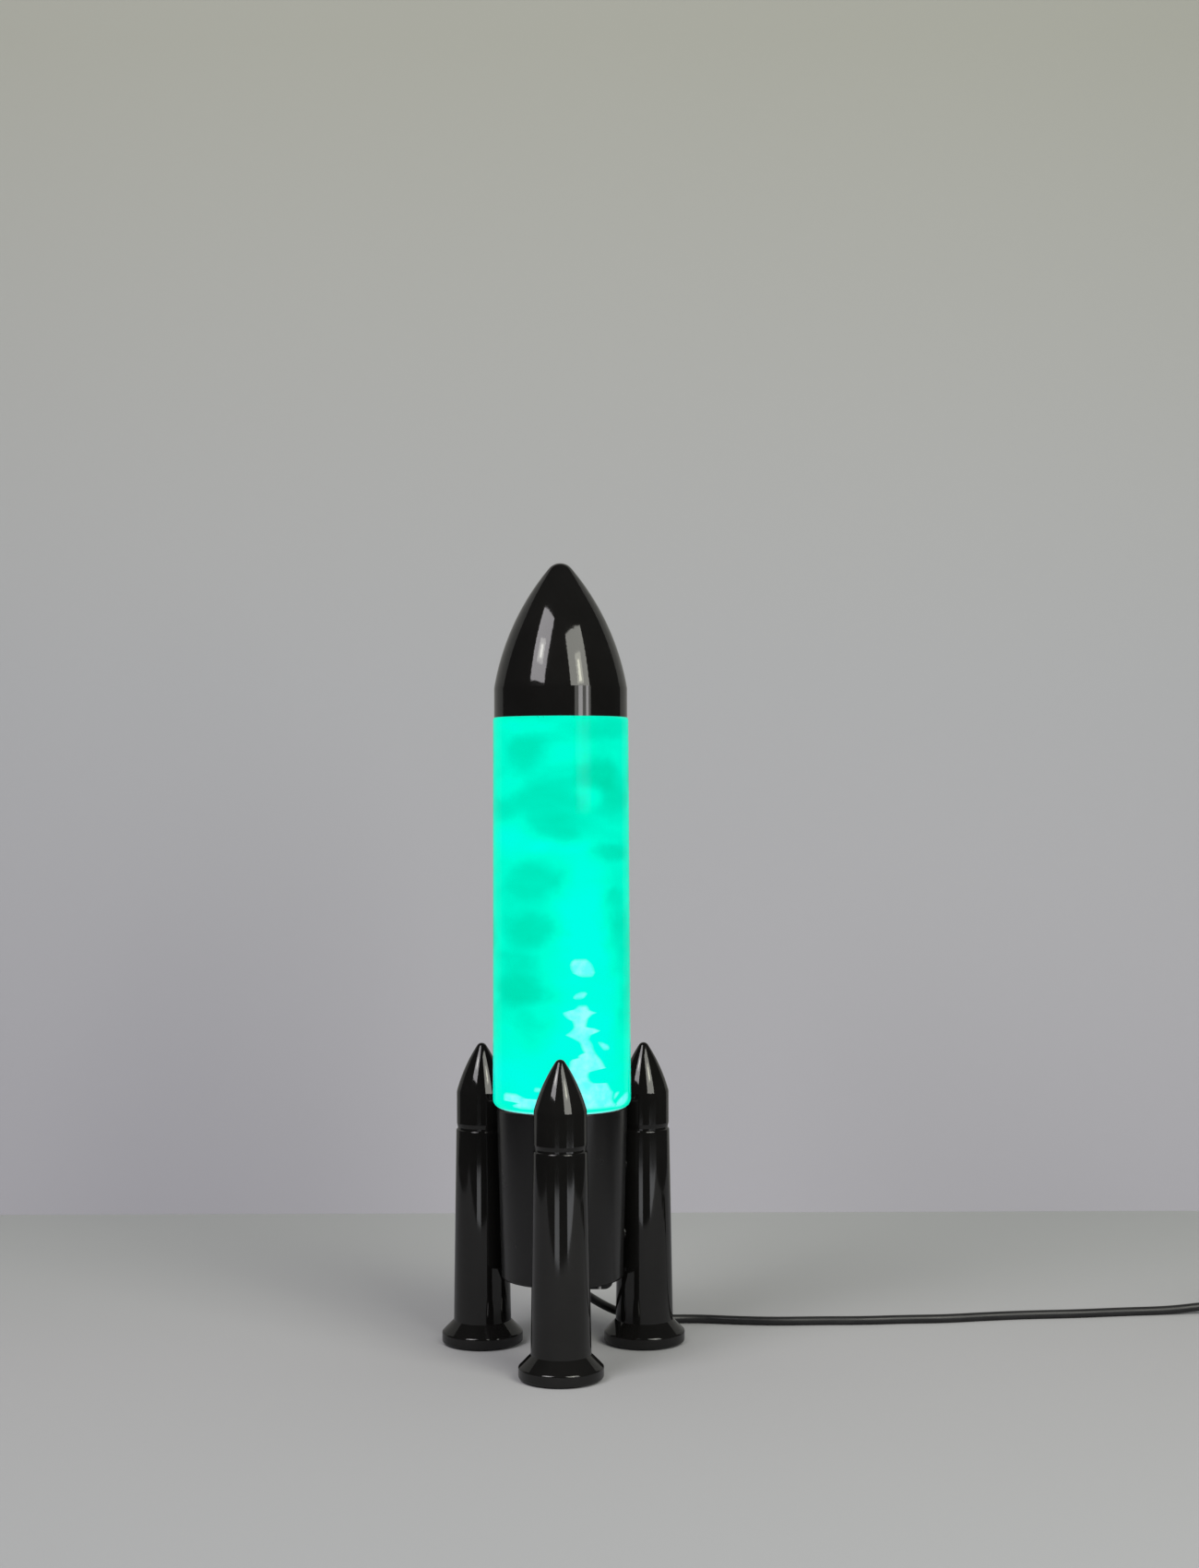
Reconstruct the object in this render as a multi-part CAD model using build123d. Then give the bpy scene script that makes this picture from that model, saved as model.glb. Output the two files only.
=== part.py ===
from build123d import *
import math
import os

# A rocket-shaped lava lamp. Millimetres; the lamp's axis is Z, the table is z = 0,
# and the front booster stands on the -Y side.

# Whole lamp
TOTAL_HEIGHT = 430.0
NOSE_LENGTH = 84.0
BASE_TOP = 134.5
BASE_BOTTOM = 42.0
SKIN_GAP = 0.1

# Glass bottle
GLASS_RADIUS = 37.6
GLASS_TAPER = 0.7
GLASS_WALL = 2.2
HEEL_ROUND = 4.5
SPIGOT_RADIUS = 31.0
SPIGOT_DEPTH = 10.0
PUNT_HEIGHT = 5.0
PUNT_INSET = 7.0
PUNT_ROUND = 6.0
SPIGOT_ROUND = 3.0
SEAT_EDGE_ROUND = 1.2
SHOULDER_STEP = 3.1
SHOULDER_HEIGHT = 31.0
SHOULDER_SLOPE = 20.0
SHOULDER_ROUND = 22.0
NECK_RADIUS = 13.0
NECK_ROUND = 8.0
NECK_LENGTH = 11.0
FILL_ABOVE_SEAT = 24.0

# Closure, wax and the wire coil in it
LINER_THICKNESS = 0.8
LINER_INSET = 0.3
CROWN_WALL = 0.6
CROWN_DEPTH = 6.5
CROWN_FLARE = 1.5
CROWN_FIT = 0.2
CROWN_ROUND = 0.5
WAX_CLEARANCE = 1.5
WAX_FOOT_HEIGHT = 6.0
WAX_FOOT_ROUND = 2.0
WAX_DOME_INSET = 4.0
WAX_DOME_HEIGHT = 8.0
WAX_SPIKE_FOOT = (18.0, -6.0)
WAX_SPIKE_TIP = (9.0, -4.0, 52.0)
WAX_SPIKE_RADII = (7.5, 1.6)
WAX_BLOBS = (
    (10.5, -5.0, 75.0, 3.6),
    (9.0, -6.0, 60.0, 1.7),
    (-9.0, 8.0, 108.0, 3.0),
    (4.0, 12.0, 152.0, 2.2),
    (-14.0, -4.0, 34.0, 2.0),
)
WAX_COIL_INSET = 9.5
WAX_COIL_TURN = 2.7
WAX_COIL_WIRE = 0.4
WAX_COIL_TURNS = 26

# Nose cone
NOSE_STEP = 0.7
NOSE_WALL = 1.8
NOSE_SKIRT = 16.0
NOSE_LEAN = 9.5
NOSE_TIP_RADIUS = 8.0

# Base housing
BASE_STEP = 2.1
BASE_TAPER = 2.4
BASE_WALL = 2.2
LIP_THICKNESS = 4.0
MOUTH_CLEARANCE = 0.4
GASKET_WIDTH = 1.9
GASKET_THICKNESS = 1.0
GASKET_CLEARANCE = 0.2
BOSS_RADIUS = 3.4
BOSS_CIRCLE = 27.0
BOSS_HEIGHT = 11.0
BOSS_WEB = 2.4
BASE_BOTTOM_ROUND = 1.6
BASE_TOP_ROUND = 0.8
BOSS_ANGLES = (-90, 30, 150)

# Bottom cover and cord clamp
COVER_RECESS = 1.5
COVER_THICKNESS = 2.5
COVER_CLEARANCE = 0.4
VENT_WIDTH = 2.2
VENT_LENGTH = 5.0
VENT_CIRCLE = 22.5
VENT_ANGLES = tuple(range(45, 80, 15)) + tuple(range(105, 140, 15)) + tuple(range(165, 270, 15))
CABLE_HOLE = (0.0, -3.0)
CABLE_HOLE_RADIUS = 7.2
CLAMP_LOW = (-8.0, -14.0)
CLAMP_HIGH = (22.6, 9.0)
CLAMP_DROP = 5.5
CLAMP_WALL = 1.5
CLAMP_FLANGE = 0.6
CLAMP_LIP = 0.01
CLAMP_TRIM = 30.2
CLAMP_SCREWS = ((-5.5, -11.5), (20.0, -11.5))

# Screws
SCREW_RADIUS = 1.5
SCREW_HEAD_RADIUS = 2.6
SCREW_HEAD_HEIGHT = 1.5
SCREW_CLEARANCE = 0.1
SCREW_BOSS_WALL = 0.8
SCREW_BITE = 5.0

# Light tube, lampholder and lamp
SHIELD_RADIUS = 24.0
SHIELD_WALL = 0.8
SHIELD_FLANGE = 30.2
SHIELD_TOP_GAP = 6.5
HOLDER_RADIUS = 14.0
HOLDER_FLANGE = 20.0
HOLDER_FLANGE_HEIGHT = 2.5
HOLDER_HEIGHT = 24.2
CHAMBER_RADIUS = 11.5
CHAMBER_HEIGHT = 5.0
PARTITION = 3.5
SHELL_RADIUS = 7.1
SHELL_WALL = 0.4
SHELL_SINK = 0.4
CONTACT_RADIUS = 3.6
CONTACT_HEIGHT = 1.5
CONTACT_GAP = 1.2
CONTACT_STEM = 0.8
TERMINAL_SIZE = (5.0, 4.0, 3.4)
TERMINAL_OFFSET = 7.0
HOLDER_SCREW_OFFSET = 16.8
LAMP_LENGTH = 66.0
LAMP_RADIUS = 19.5
LAMP_NECK = 8.0
LAMP_NECK_LENGTH = 7.0
LAMP_NECK_ROUND = 6.0
LAMP_CONE_TOP = 31.0
LAMP_CONE_ROUND = 12.0
LAMP_CROWN = 4.0
LAMP_CROWN_ROUND = 7.0
LAMP_CAP_RADIUS = 6.9
LAMP_CAP_HEIGHT = 17.0
LAMP_GLASS_WALL = 0.9
LAMP_COLLAR_WALL = 0.7
LAMP_COLLAR_GRIP = 3.0
LAMP_FLARE_GAP = 0.4
LAMP_CONTACT_RADIUS = 2.6
LAMP_CONTACT_HEIGHT = 1.1
FILAMENT_WIRE = 0.5
FILAMENT_DROP = 22.0
FILAMENT_FEET = 2.0
FILAMENT_REACH = 7.0
LAMP_GAP = 0.1

# Boosters
BOOSTER_GAP = 0.4
BOOSTER_COLLAR = 13.9
BOOSTER_HEIGHT = 166.3
BOOSTER_JOINT = 119.0
BOOSTER_TOP_RADIUS = 14.2
BOOSTER_FOOT_RADIUS = 15.9
BOOSTER_BORE = 11.4
BOOSTER_PLUG_CLEARANCE = 0.1
BOOSTER_PLUG_LENGTH = 10.0
PLUG_END_ROUND = 0.5
BOOSTER_TOP_ROUND = 1.0
BOOSTER_TIP_RADIUS = 3.0
BOOSTER_CONE_LENGTH = 26.8
BOOSTER_CONE_LEAN = 15.0
BOOSTER_SHOULDER_ROUND = 1.5
GROOVE_HEIGHT = 3.2
GROOVE_LAND = 1.0
GROOVE_DEPTH = 0.8
NOSE_BORE_DEPTH = 29.0
NOSE_BORE_WALL = 2.4
NOSE_BORE_POINT = (1.5, 8.0)
FOOT_RIM_RADIUS = 22.4
FOOT_RIM_BOTTOM = 0.8
FOOT_RIM_TOP = 6.5
FOOT_TOP = 13.0
FOOT_ROUND = 1.2
PAD_INSET = 3.0
PAD_THICKNESS = 3.0
PAD_CLEARANCE = 0.2
PAD_ROUND = 0.4
BRIDGE_RADIUS = 4.5
BRIDGE_HEIGHTS = (62.0, 100.0)
BOOSTERS = {"front": 0, "right": 120, "left": 240}

# Flex
CORD_DIAMETER = 4.8
CORD_CLEARANCE = 0.05
CORD_REST = CORD_DIAMETER / 2 + 0.1
RELIEF_START = Vector(-2.0, -2.0, 41.0)
RELIEF_END = Vector(8.5, 15.0, 31.5)
RELIEF_ROOT_WALL = 1.4
RELIEF_TIP_WALL = 0.7
RELIEF_TAIL = 2.0
WIRE_RADIUS = 0.9
WIRE_OFFSET = 1.1

# In-line switch: the flex goes through it along X
SWITCH_CENTRE = (420.0, 88.5)
SWITCH_LENGTH = 60.0
SWITCH_WIDTH = 26.0
SWITCH_BOTTOM = 0.4
SWITCH_SPLIT = 6.0
SWITCH_TOP = 17.0
SWITCH_WALL = 1.8
SWITCH_ROUND = 5.0
ROCKER_RADIUS = 10.2
ROCKER_WIDTH = 12.0
ROCKER_PIVOT_HEIGHT = 14.0
ROCKER_GAP = 0.3
ROCKER_RISE = 4.2
ROCKER_TILT = 8.0
ROCKER_PIN_RADIUS = 1.4
ROCKER_PIN_LENGTH = 1.3
ROCKER_PIN_PLAY = 0.3
ROCKER_DROP = 3.0
SWITCH_GRIP = 7.0
SWITCH_CHANNEL_RUN = 1.0
SWITCH_RIB = 2.0
SWITCH_BOTTOM_ROUND = 1.2
SWITCH_TOP_ROUND = 2.5
SWITCH_SCREW_INSET = (8.0, 5.0)
SWITCH_CHEEK = (8.0, 2.5)
CONTACT_STRIP = (28.0, 3.0, 0.8)
CONTACT_STRIP_OFFSET = 5.0

# Coil of spare flex, its tie, and the plug
COIL_CENTRE = (488.0, 57.5)
COIL_MEAN_RADIUS = 26.4
COIL_COLUMNS = 3
COIL_REST = 1.0
COIL_LAYERS = 2
COIL_SLACK = 0.3
COIL_EDGE_INSET = 0.2
COIL_TURNS = 6
TIE_WIDTH = 4.5
TIE_THICKNESS = 0.9
TIE_CLEARANCE = 0.2
TIE_ROUND = 2.0
TIE_LOCK = (3.0, 9.0)
TIE_LOCK_HEIGHT = 3.9
PLUG_FACE = (522.0, -42.0)
PLUG_WIDTH = 26.0
PLUG_SHOULDER = 12.0
PLUG_THICKNESS = 13.7
PLUG_LENGTH = 34.0
PLUG_STRAIGHT = 15.3
PLUG_REST = 0.4
PLUG_EDGE_ROUND = 1.5
PLUG_ROUND = 4.0
PIN_RADIUS = 2.0
PIN_LENGTH = 19.0
PIN_SPACING = 18.6
PIN_END_ROUND = 0.9
PIN_NECK_LENGTH = 1.0
PIN_NECK_RADIUS = 1.6
PIN_ROOT = 8.0
PLUG_RELIEF_LENGTH = 20.0
PLUG_RELIEF_WALLS = (2.2, 0.7)

# Sizes that follow from the ones above
NOSE_SEAT = TOTAL_HEIGHT - NOSE_LENGTH
GLASS_TOP_RADIUS = GLASS_RADIUS - GLASS_TAPER
PLUG_RADIUS = GLASS_TOP_RADIUS - SHOULDER_STEP
PUNT_RADIUS = SPIGOT_RADIUS - PUNT_INSET
WAX_DOME_RADIUS = SPIGOT_RADIUS - WAX_DOME_INSET
WAX_COIL_RING = SPIGOT_RADIUS - WAX_COIL_INSET
SPIGOT_BOTTOM = BASE_TOP - SPIGOT_DEPTH
NECK_BASE = NOSE_SEAT + SHOULDER_HEIGHT
NECK_TOP = NECK_BASE + NECK_LENGTH
BASE_TOP_RADIUS = GLASS_RADIUS - BASE_STEP
BASE_BOTTOM_RADIUS = BASE_TOP_RADIUS - BASE_TAPER
MOUTH_RADIUS = SPIGOT_RADIUS + MOUTH_CLEARANCE
COVER_BOTTOM = BASE_BOTTOM + COVER_RECESS
COVER_TOP = COVER_BOTTOM + COVER_THICKNESS
COVER_RADIUS = BASE_BOTTOM_RADIUS - BASE_WALL - COVER_CLEARANCE
BOSS_TOP = COVER_TOP + BOSS_HEIGHT
HOLDER_TOP = COVER_TOP + HOLDER_HEIGHT
CHAMBER_TOP = COVER_TOP + CHAMBER_HEIGHT
PARTITION_TOP = CHAMBER_TOP + PARTITION
CONTACT_TOP = PARTITION_TOP + CONTACT_HEIGHT
LAMP_BOTTOM = CONTACT_TOP + LAMP_GAP
LAMP_TOP = LAMP_BOTTOM + LAMP_LENGTH
LAMP_GLASS_BOTTOM = LAMP_BOTTOM + LAMP_CAP_HEIGHT
BOOSTER_CIRCLE = GLASS_RADIUS + BOOSTER_GAP + BOOSTER_COLLAR
PAD_RADIUS = FOOT_RIM_RADIUS - PAD_INSET
SCREW_HOLE = SCREW_RADIUS + SCREW_CLEARANCE
SCREW_HEAD_HOLE = SCREW_HEAD_RADIUS + SCREW_CLEARANCE
SCREW_BOSS = SCREW_HEAD_RADIUS + SCREW_BOSS_WALL
CORD_RADIUS = CORD_DIAMETER / 2
COIL_REACH = COIL_COLUMNS * CORD_DIAMETER / 2
COIL_TOP = COIL_REST + COIL_LAYERS * CORD_DIAMETER + COIL_EDGE_INSET
COIL_LOW_TURN = COIL_REST + CORD_DIAMETER / 2
COIL_HIGH_TURN = COIL_TOP - CORD_DIAMETER / 2
SWITCH_IN = SWITCH_CENTRE[0] - SWITCH_LENGTH / 2
SWITCH_OUT = SWITCH_CENTRE[0] + SWITCH_LENGTH / 2
PLUG_AXIS = PLUG_THICKNESS / 2 + PLUG_REST
PLUG_BACK = PLUG_FACE[1] + PLUG_LENGTH

# The flex's route: under the base, between the boosters, then along the table
CORD_ROUTE = [
    RELIEF_END,
    Vector(16.0, 30.0, 23.0),
    Vector(27.0, 44.5, 13.5),
    Vector(41.0, 57.0, 6.2),
    Vector(57.0, 67.0, 2.8),
    Vector(77.0, 69.0, CORD_REST),
    Vector(98.0, 64.5, CORD_REST),
    Vector(121.0, 62.0, CORD_REST),
    Vector(146.0, 63.2, CORD_REST),
    Vector(170.0, 63.0, CORD_REST),
    Vector(194.0, 65.8, CORD_REST),
    Vector(218.0, 66.8, CORD_REST),
    Vector(242.0, 72.0, CORD_REST),
    Vector(268.0, 76.0, CORD_REST),
    Vector(296.0, 78.0, CORD_REST),
    Vector(324.0, 82.6, CORD_REST),
    Vector(350.0, 85.2, CORD_REST),
    Vector(370.0, 88.0, 3.9),
    Vector(SWITCH_IN, SWITCH_CENTRE[1], SWITCH_SPLIT),
]
CORD_AFTER_SWITCH = [
    Vector(SWITCH_OUT, SWITCH_CENTRE[1], SWITCH_SPLIT),
    Vector(463.0, 89.2, 4.2),
    Vector(475.0, 88.6, 2.7),
    Vector(COIL_CENTRE[0], COIL_CENTRE[1] + COIL_MEAN_RADIUS + CORD_DIAMETER, COIL_LOW_TURN),
]
CORD_AFTER_COIL = [
    Vector(COIL_CENTRE[0] + COIL_MEAN_RADIUS + CORD_DIAMETER, COIL_CENTRE[1], COIL_HIGH_TURN),
    Vector(520.0, 44.0, 6.2),
    Vector(521.2, 31.0, 5.2),
    Vector(PLUG_FACE[0], PLUG_BACK + PLUG_RELIEF_LENGTH, PLUG_AXIS),
]


def turned(*corners):
    """Solid of revolution about Z; each corner is radius, height and, if rounded, its rounding."""
    points = [(corner[0], corner[1]) for corner in corners]
    roundings = [corner[2] if len(corner) > 2 else 0 for corner in corners]
    outline = FilletPolyline(*points, radius=roundings, close=True)
    return revolve(Plane.XZ * make_face(outline), Axis.Z)


def post(x, y, bottom, top, radius):
    """Upright cylinder between two heights."""
    return Pos(x, y, bottom) * Cylinder(radius, top - bottom, align=(Align.CENTER, Align.CENTER, Align.MIN))


def block(low, high):
    """Box between two corners."""
    size = [b - a for a, b in zip(low, high)]
    return Pos(*low) * Box(*size, align=(Align.MIN, Align.MIN, Align.MIN))


def rod(start, end, radius, end_radius=None):
    """Cylinder, or cone, from one point to another."""
    axis = end - start
    plane = Plane(origin=start, z_dir=axis)
    if end_radius is None:
        shape = Cylinder(radius, axis.length, align=(Align.CENTER, Align.CENTER, Align.MIN))
    else:
        shape = Cone(radius, end_radius, axis.length, align=(Align.CENTER, Align.CENTER, Align.MIN))
    return plane * shape


def around(shape, angle):
    return Rot(0, 0, angle) * shape


def on_circle(radius, angle):
    return radius * math.cos(math.radians(angle)), radius * math.sin(math.radians(angle))


def tube(name, points, radius):
    """Round bar along straight runs joined by the largest arcs that they allow."""
    radii = []
    for before, here, after in zip(points, points[1:], points[2:]):
        turn = math.radians((here - before).get_angle(after - here))
        shorter = min((here - before).length, (after - here).length)
        radii.append(0.45 * shorter / math.tan(turn / 2))
    print(name, "radii", [round(value) for value in radii])
    path = FilletPolyline(*points, radius=radii)
    section = Plane(origin=points[0], z_dir=points[1] - points[0]) * Circle(radius)
    solid = sweep(section, path=path)
    fill = solid.volume / path.length / math.pi / radius**2
    print(name, "length", round(path.length), "fill", round(fill, 4))
    return solid


def screw_down(x, y, seat, length):
    """Pan-head screw whose head sits on a seat and whose shank points down."""
    head = post(x, y, seat, seat + SCREW_HEAD_HEIGHT, SCREW_HEAD_RADIUS)
    return post(x, y, seat - length, seat, SCREW_RADIUS) + head


def screw_up(x, y, seat, length):
    """The same, with its head below the seat and its shank pointing up."""
    head = post(x, y, seat - SCREW_HEAD_HEIGHT, seat, SCREW_HEAD_RADIUS)
    return post(x, y, seat, seat + length, SCREW_RADIUS) + head


# Bottle and what it holds
def bottle_form(inset):
    """The bottle's form, drawn in from its outer skin by inset, with its mouth at NECK_TOP."""
    slope = math.tan(math.radians(SHOULDER_SLOPE))
    drop = inset / math.cos(math.radians(SHOULDER_SLOPE))
    neck = NECK_RADIUS - inset
    side = PLUG_RADIUS - inset
    return turned(
        (0, SPIGOT_BOTTOM + PUNT_HEIGHT + inset),
        (PUNT_RADIUS, SPIGOT_BOTTOM + inset, PUNT_ROUND),
        (SPIGOT_RADIUS - inset, SPIGOT_BOTTOM + inset, SPIGOT_ROUND - inset / 2),
        (SPIGOT_RADIUS - inset, BASE_TOP + inset),
        (GLASS_RADIUS - inset, BASE_TOP + inset, HEEL_ROUND - inset),
        (GLASS_TOP_RADIUS - inset, NOSE_SEAT - inset, SEAT_EDGE_ROUND),
        (side, NOSE_SEAT - inset),
        (side, NECK_BASE - (side - NECK_RADIUS) * slope - drop, SHOULDER_ROUND - inset),
        (neck, NECK_BASE + inset * slope - drop, NECK_ROUND + inset),
        (neck, NECK_TOP),
        (0, NECK_TOP),
    )


def coil_groove():
    """Ring-shaped room round the wire coil on the bottle's floor."""
    height = SPIGOT_BOTTOM + GLASS_WALL + WAX_COIL_TURN + 4 * WAX_COIL_WIRE
    return Pos(0, 0, height) * Torus(WAX_COIL_RING, WAX_COIL_TURN + 2 * WAX_COIL_WIRE)


def glass_bottle():
    return bottle_form(0) - bottle_form(GLASS_WALL)


def wax_mound():
    floor = SPIGOT_BOTTOM + GLASS_WALL
    reach = SPIGOT_RADIUS - GLASS_WALL - WAX_CLEARANCE
    dome = turned((0, floor), (reach, floor), (reach, floor + WAX_FOOT_HEIGHT, WAX_FOOT_ROUND),
                  (WAX_DOME_RADIUS, BASE_TOP + GLASS_WALL + 1, 1.0), (0, BASE_TOP + WAX_DOME_HEIGHT))
    foot = Vector(*WAX_SPIKE_FOOT, BASE_TOP)
    tip = Vector(WAX_SPIKE_TIP[0], WAX_SPIKE_TIP[1], BASE_TOP + WAX_SPIKE_TIP[2])
    spike = rod(foot, tip, *WAX_SPIKE_RADII)
    heap = dome + spike + Pos(*tip) * Sphere(WAX_SPIKE_RADII[1])
    return (heap & bottle_form(GLASS_WALL + SKIN_GAP)) - coil_groove()


def wax_blobs():
    return [Pos(x, y, BASE_TOP + z) * Sphere(radius) for x, y, z, radius in WAX_BLOBS]


def lamp_fluid():
    level = NOSE_SEAT + FILL_ABOVE_SEAT
    room = bottle_form(GLASS_WALL + SKIN_GAP) & post(0, 0, 0, level, GLASS_RADIUS)
    for wax in [wax_mound(), coil_groove(), *wax_blobs()]:
        room -= wax
    return room


def wax_coil_spring():
    height = SPIGOT_BOTTOM + GLASS_WALL + WAX_COIL_TURN + 4 * WAX_COIL_WIRE
    turn = Pos(WAX_COIL_RING, 0, height) * Rot(90, 0, 0) * Torus(WAX_COIL_TURN, WAX_COIL_WIRE)
    return [around(turn, index * 360 / WAX_COIL_TURNS) for index in range(WAX_COIL_TURNS)]


def cap_liner():
    return post(0, 0, NECK_TOP, NECK_TOP + LINER_THICKNESS, NECK_RADIUS - LINER_INSET)


def crown_cap():
    under = NECK_TOP + LINER_THICKNESS
    inner = NECK_RADIUS + CROWN_FIT
    return turned(
        (0, under), (inner, under), (inner + CROWN_FLARE, under - CROWN_DEPTH),
        (inner + CROWN_FLARE + CROWN_WALL, under - CROWN_DEPTH),
        (inner + CROWN_WALL, under + CROWN_WALL, CROWN_ROUND), (0, under + CROWN_WALL),
    )


# Nose cone
def bullet(radius, seat, shoulder, top, tip_radius, lean, inset=0):
    """Solid of revolution: upright to its shoulder, leaning in along an arc, with a round tip."""
    lean = math.radians(lean)
    tip_centre = top - tip_radius
    rise = tip_centre - shoulder
    arc = (radius**2 + rise**2 - tip_radius**2) / 2
    arc /= radius * math.cos(lean) - rise * math.sin(lean) - tip_radius
    centre = (radius - arc * math.cos(lean), shoulder - arc * math.sin(lean))
    arc_end = math.atan2(tip_centre - centre[1], -centre[0])
    bow = arc - inset
    tip = tip_radius - inset

    def on_arc(angle):
        return centre[0] + bow * math.cos(angle), centre[1] + bow * math.sin(angle)

    start = (radius - inset, on_arc(lean)[1])
    end = (tip * math.cos(arc_end), tip_centre + tip * math.sin(arc_end))
    half = (arc_end + math.pi / 2) / 2
    middle = (tip * math.cos(half), tip_centre + tip * math.sin(half))
    peak = (0, tip_centre + tip)
    edges = [
        Line((0, seat), (radius - inset, seat)),
        Line((radius - inset, seat), start),
        ThreePointArc(start, on_arc((lean + arc_end) / 2), end),
        ThreePointArc(end, middle, peak),
        Line(peak, (0, seat)),
    ]
    return revolve(Plane.XZ * make_face(edges), Axis.Z)


def nose_form(inset):
    return bullet(GLASS_TOP_RADIUS - NOSE_STEP, NOSE_SEAT, NOSE_SEAT + NOSE_SKIRT, TOTAL_HEIGHT,
                  NOSE_TIP_RADIUS, NOSE_LEAN, inset)


def nose_cone():
    return nose_form(0) - nose_form(NOSE_WALL)


# Base
def housing_radius(height):
    """Outer radius of the housing's cone at a height."""
    share = (height - BASE_BOTTOM) / (BASE_TOP - BASE_BOTTOM)
    return BASE_BOTTOM_RADIUS + share * BASE_TAPER


def housing_cone(inset, bottom, top):
    return turned((0, bottom), (housing_radius(bottom) - inset, bottom),
                  (housing_radius(top) - inset, top), (0, top))


def base_housing():
    gasket_seat = BASE_TOP - GASKET_THICKNESS
    gasket_room = MOUTH_RADIUS + GASKET_CLEARANCE + GASKET_WIDTH + GASKET_CLEARANCE
    outside = turned((0, BASE_BOTTOM), (BASE_BOTTOM_RADIUS, BASE_BOTTOM, BASE_BOTTOM_ROUND),
                     (BASE_TOP_RADIUS, BASE_TOP, BASE_TOP_ROUND), (0, BASE_TOP))
    shell = outside - housing_cone(BASE_WALL, BASE_BOTTOM - 1, BASE_TOP - LIP_THICKNESS)
    shell -= post(0, 0, BASE_TOP - 2 * LIP_THICKNESS, BASE_TOP + 1, MOUTH_RADIUS)
    shell -= post(0, 0, gasket_seat, BASE_TOP + 1, gasket_room)
    inside = housing_cone(BASE_WALL / 2, COVER_TOP, BOSS_TOP)
    for angle in BOSS_ANGLES:
        x, y = on_circle(BOSS_CIRCLE, angle)
        web = block((BOSS_CIRCLE, -BOSS_WEB / 2, COVER_TOP), (BASE_TOP_RADIUS, BOSS_WEB / 2, BOSS_TOP))
        boss = post(x, y, COVER_TOP, BOSS_TOP, BOSS_RADIUS) + around(web, angle)
        shell += boss & inside
        shell -= post(x, y, COVER_TOP - 1, BOSS_TOP + 1, SCREW_HOLE)
    for angle in BOOSTERS.values():
        for height in BRIDGE_HEIGHTS:
            hole = rod(Vector(0, -BOSS_CIRCLE, height), Vector(0, -BOOSTER_CIRCLE, height), SCREW_HOLE)
            shell -= around(hole, angle)
    return shell


def seat_gasket():
    inner = MOUTH_RADIUS + GASKET_CLEARANCE
    bottom = BASE_TOP - GASKET_THICKNESS
    return post(0, 0, bottom, BASE_TOP, inner + GASKET_WIDTH) - post(0, 0, bottom, BASE_TOP, inner)


def strain_relief_form(extra):
    """The tapered sleeve's outside, grown by extra."""
    along = (RELIEF_END - RELIEF_START).normalized()
    root = CORD_RADIUS + RELIEF_ROOT_WALL + extra
    tail = RELIEF_START - along * RELIEF_TAIL
    sleeve = rod(RELIEF_START, RELIEF_END, root, CORD_RADIUS + RELIEF_TIP_WALL + extra)
    return sleeve + rod(tail, RELIEF_START, root)


def strain_relief():
    along = (RELIEF_END - RELIEF_START).normalized()
    tail = RELIEF_START - along * (RELIEF_TAIL + 1)
    return strain_relief_form(0) - rod(tail, RELIEF_END + along, CORD_RADIUS + CORD_CLEARANCE)


def bottom_cover():
    disc = post(0, 0, COVER_BOTTOM, COVER_TOP, COVER_RADIUS)
    for angle in BOSS_ANGLES:
        x, y = on_circle(BOSS_CIRCLE, angle)
        disc -= post(x, y, COVER_BOTTOM - 1, COVER_TOP + 1, SCREW_HOLE)
    for angle in VENT_ANGLES:
        slot = extrude(SlotOverall(VENT_LENGTH + VENT_WIDTH, VENT_WIDTH), COVER_TOP + 1)
        disc -= around(Pos(VENT_CIRCLE, 0, 0) * slot, angle)
    for side in (-1, 1):
        disc -= post(0, side * HOLDER_SCREW_OFFSET, COVER_BOTTOM - 1, COVER_TOP + 1, SCREW_HOLE)
    for x, y in CLAMP_SCREWS:
        disc -= post(x, y, COVER_BOTTOM - 1, COVER_TOP + 1, SCREW_HOLE)
    return disc - post(*CABLE_HOLE, COVER_BOTTOM - 1, COVER_TOP + 1, CABLE_HOLE_RADIUS)


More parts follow.
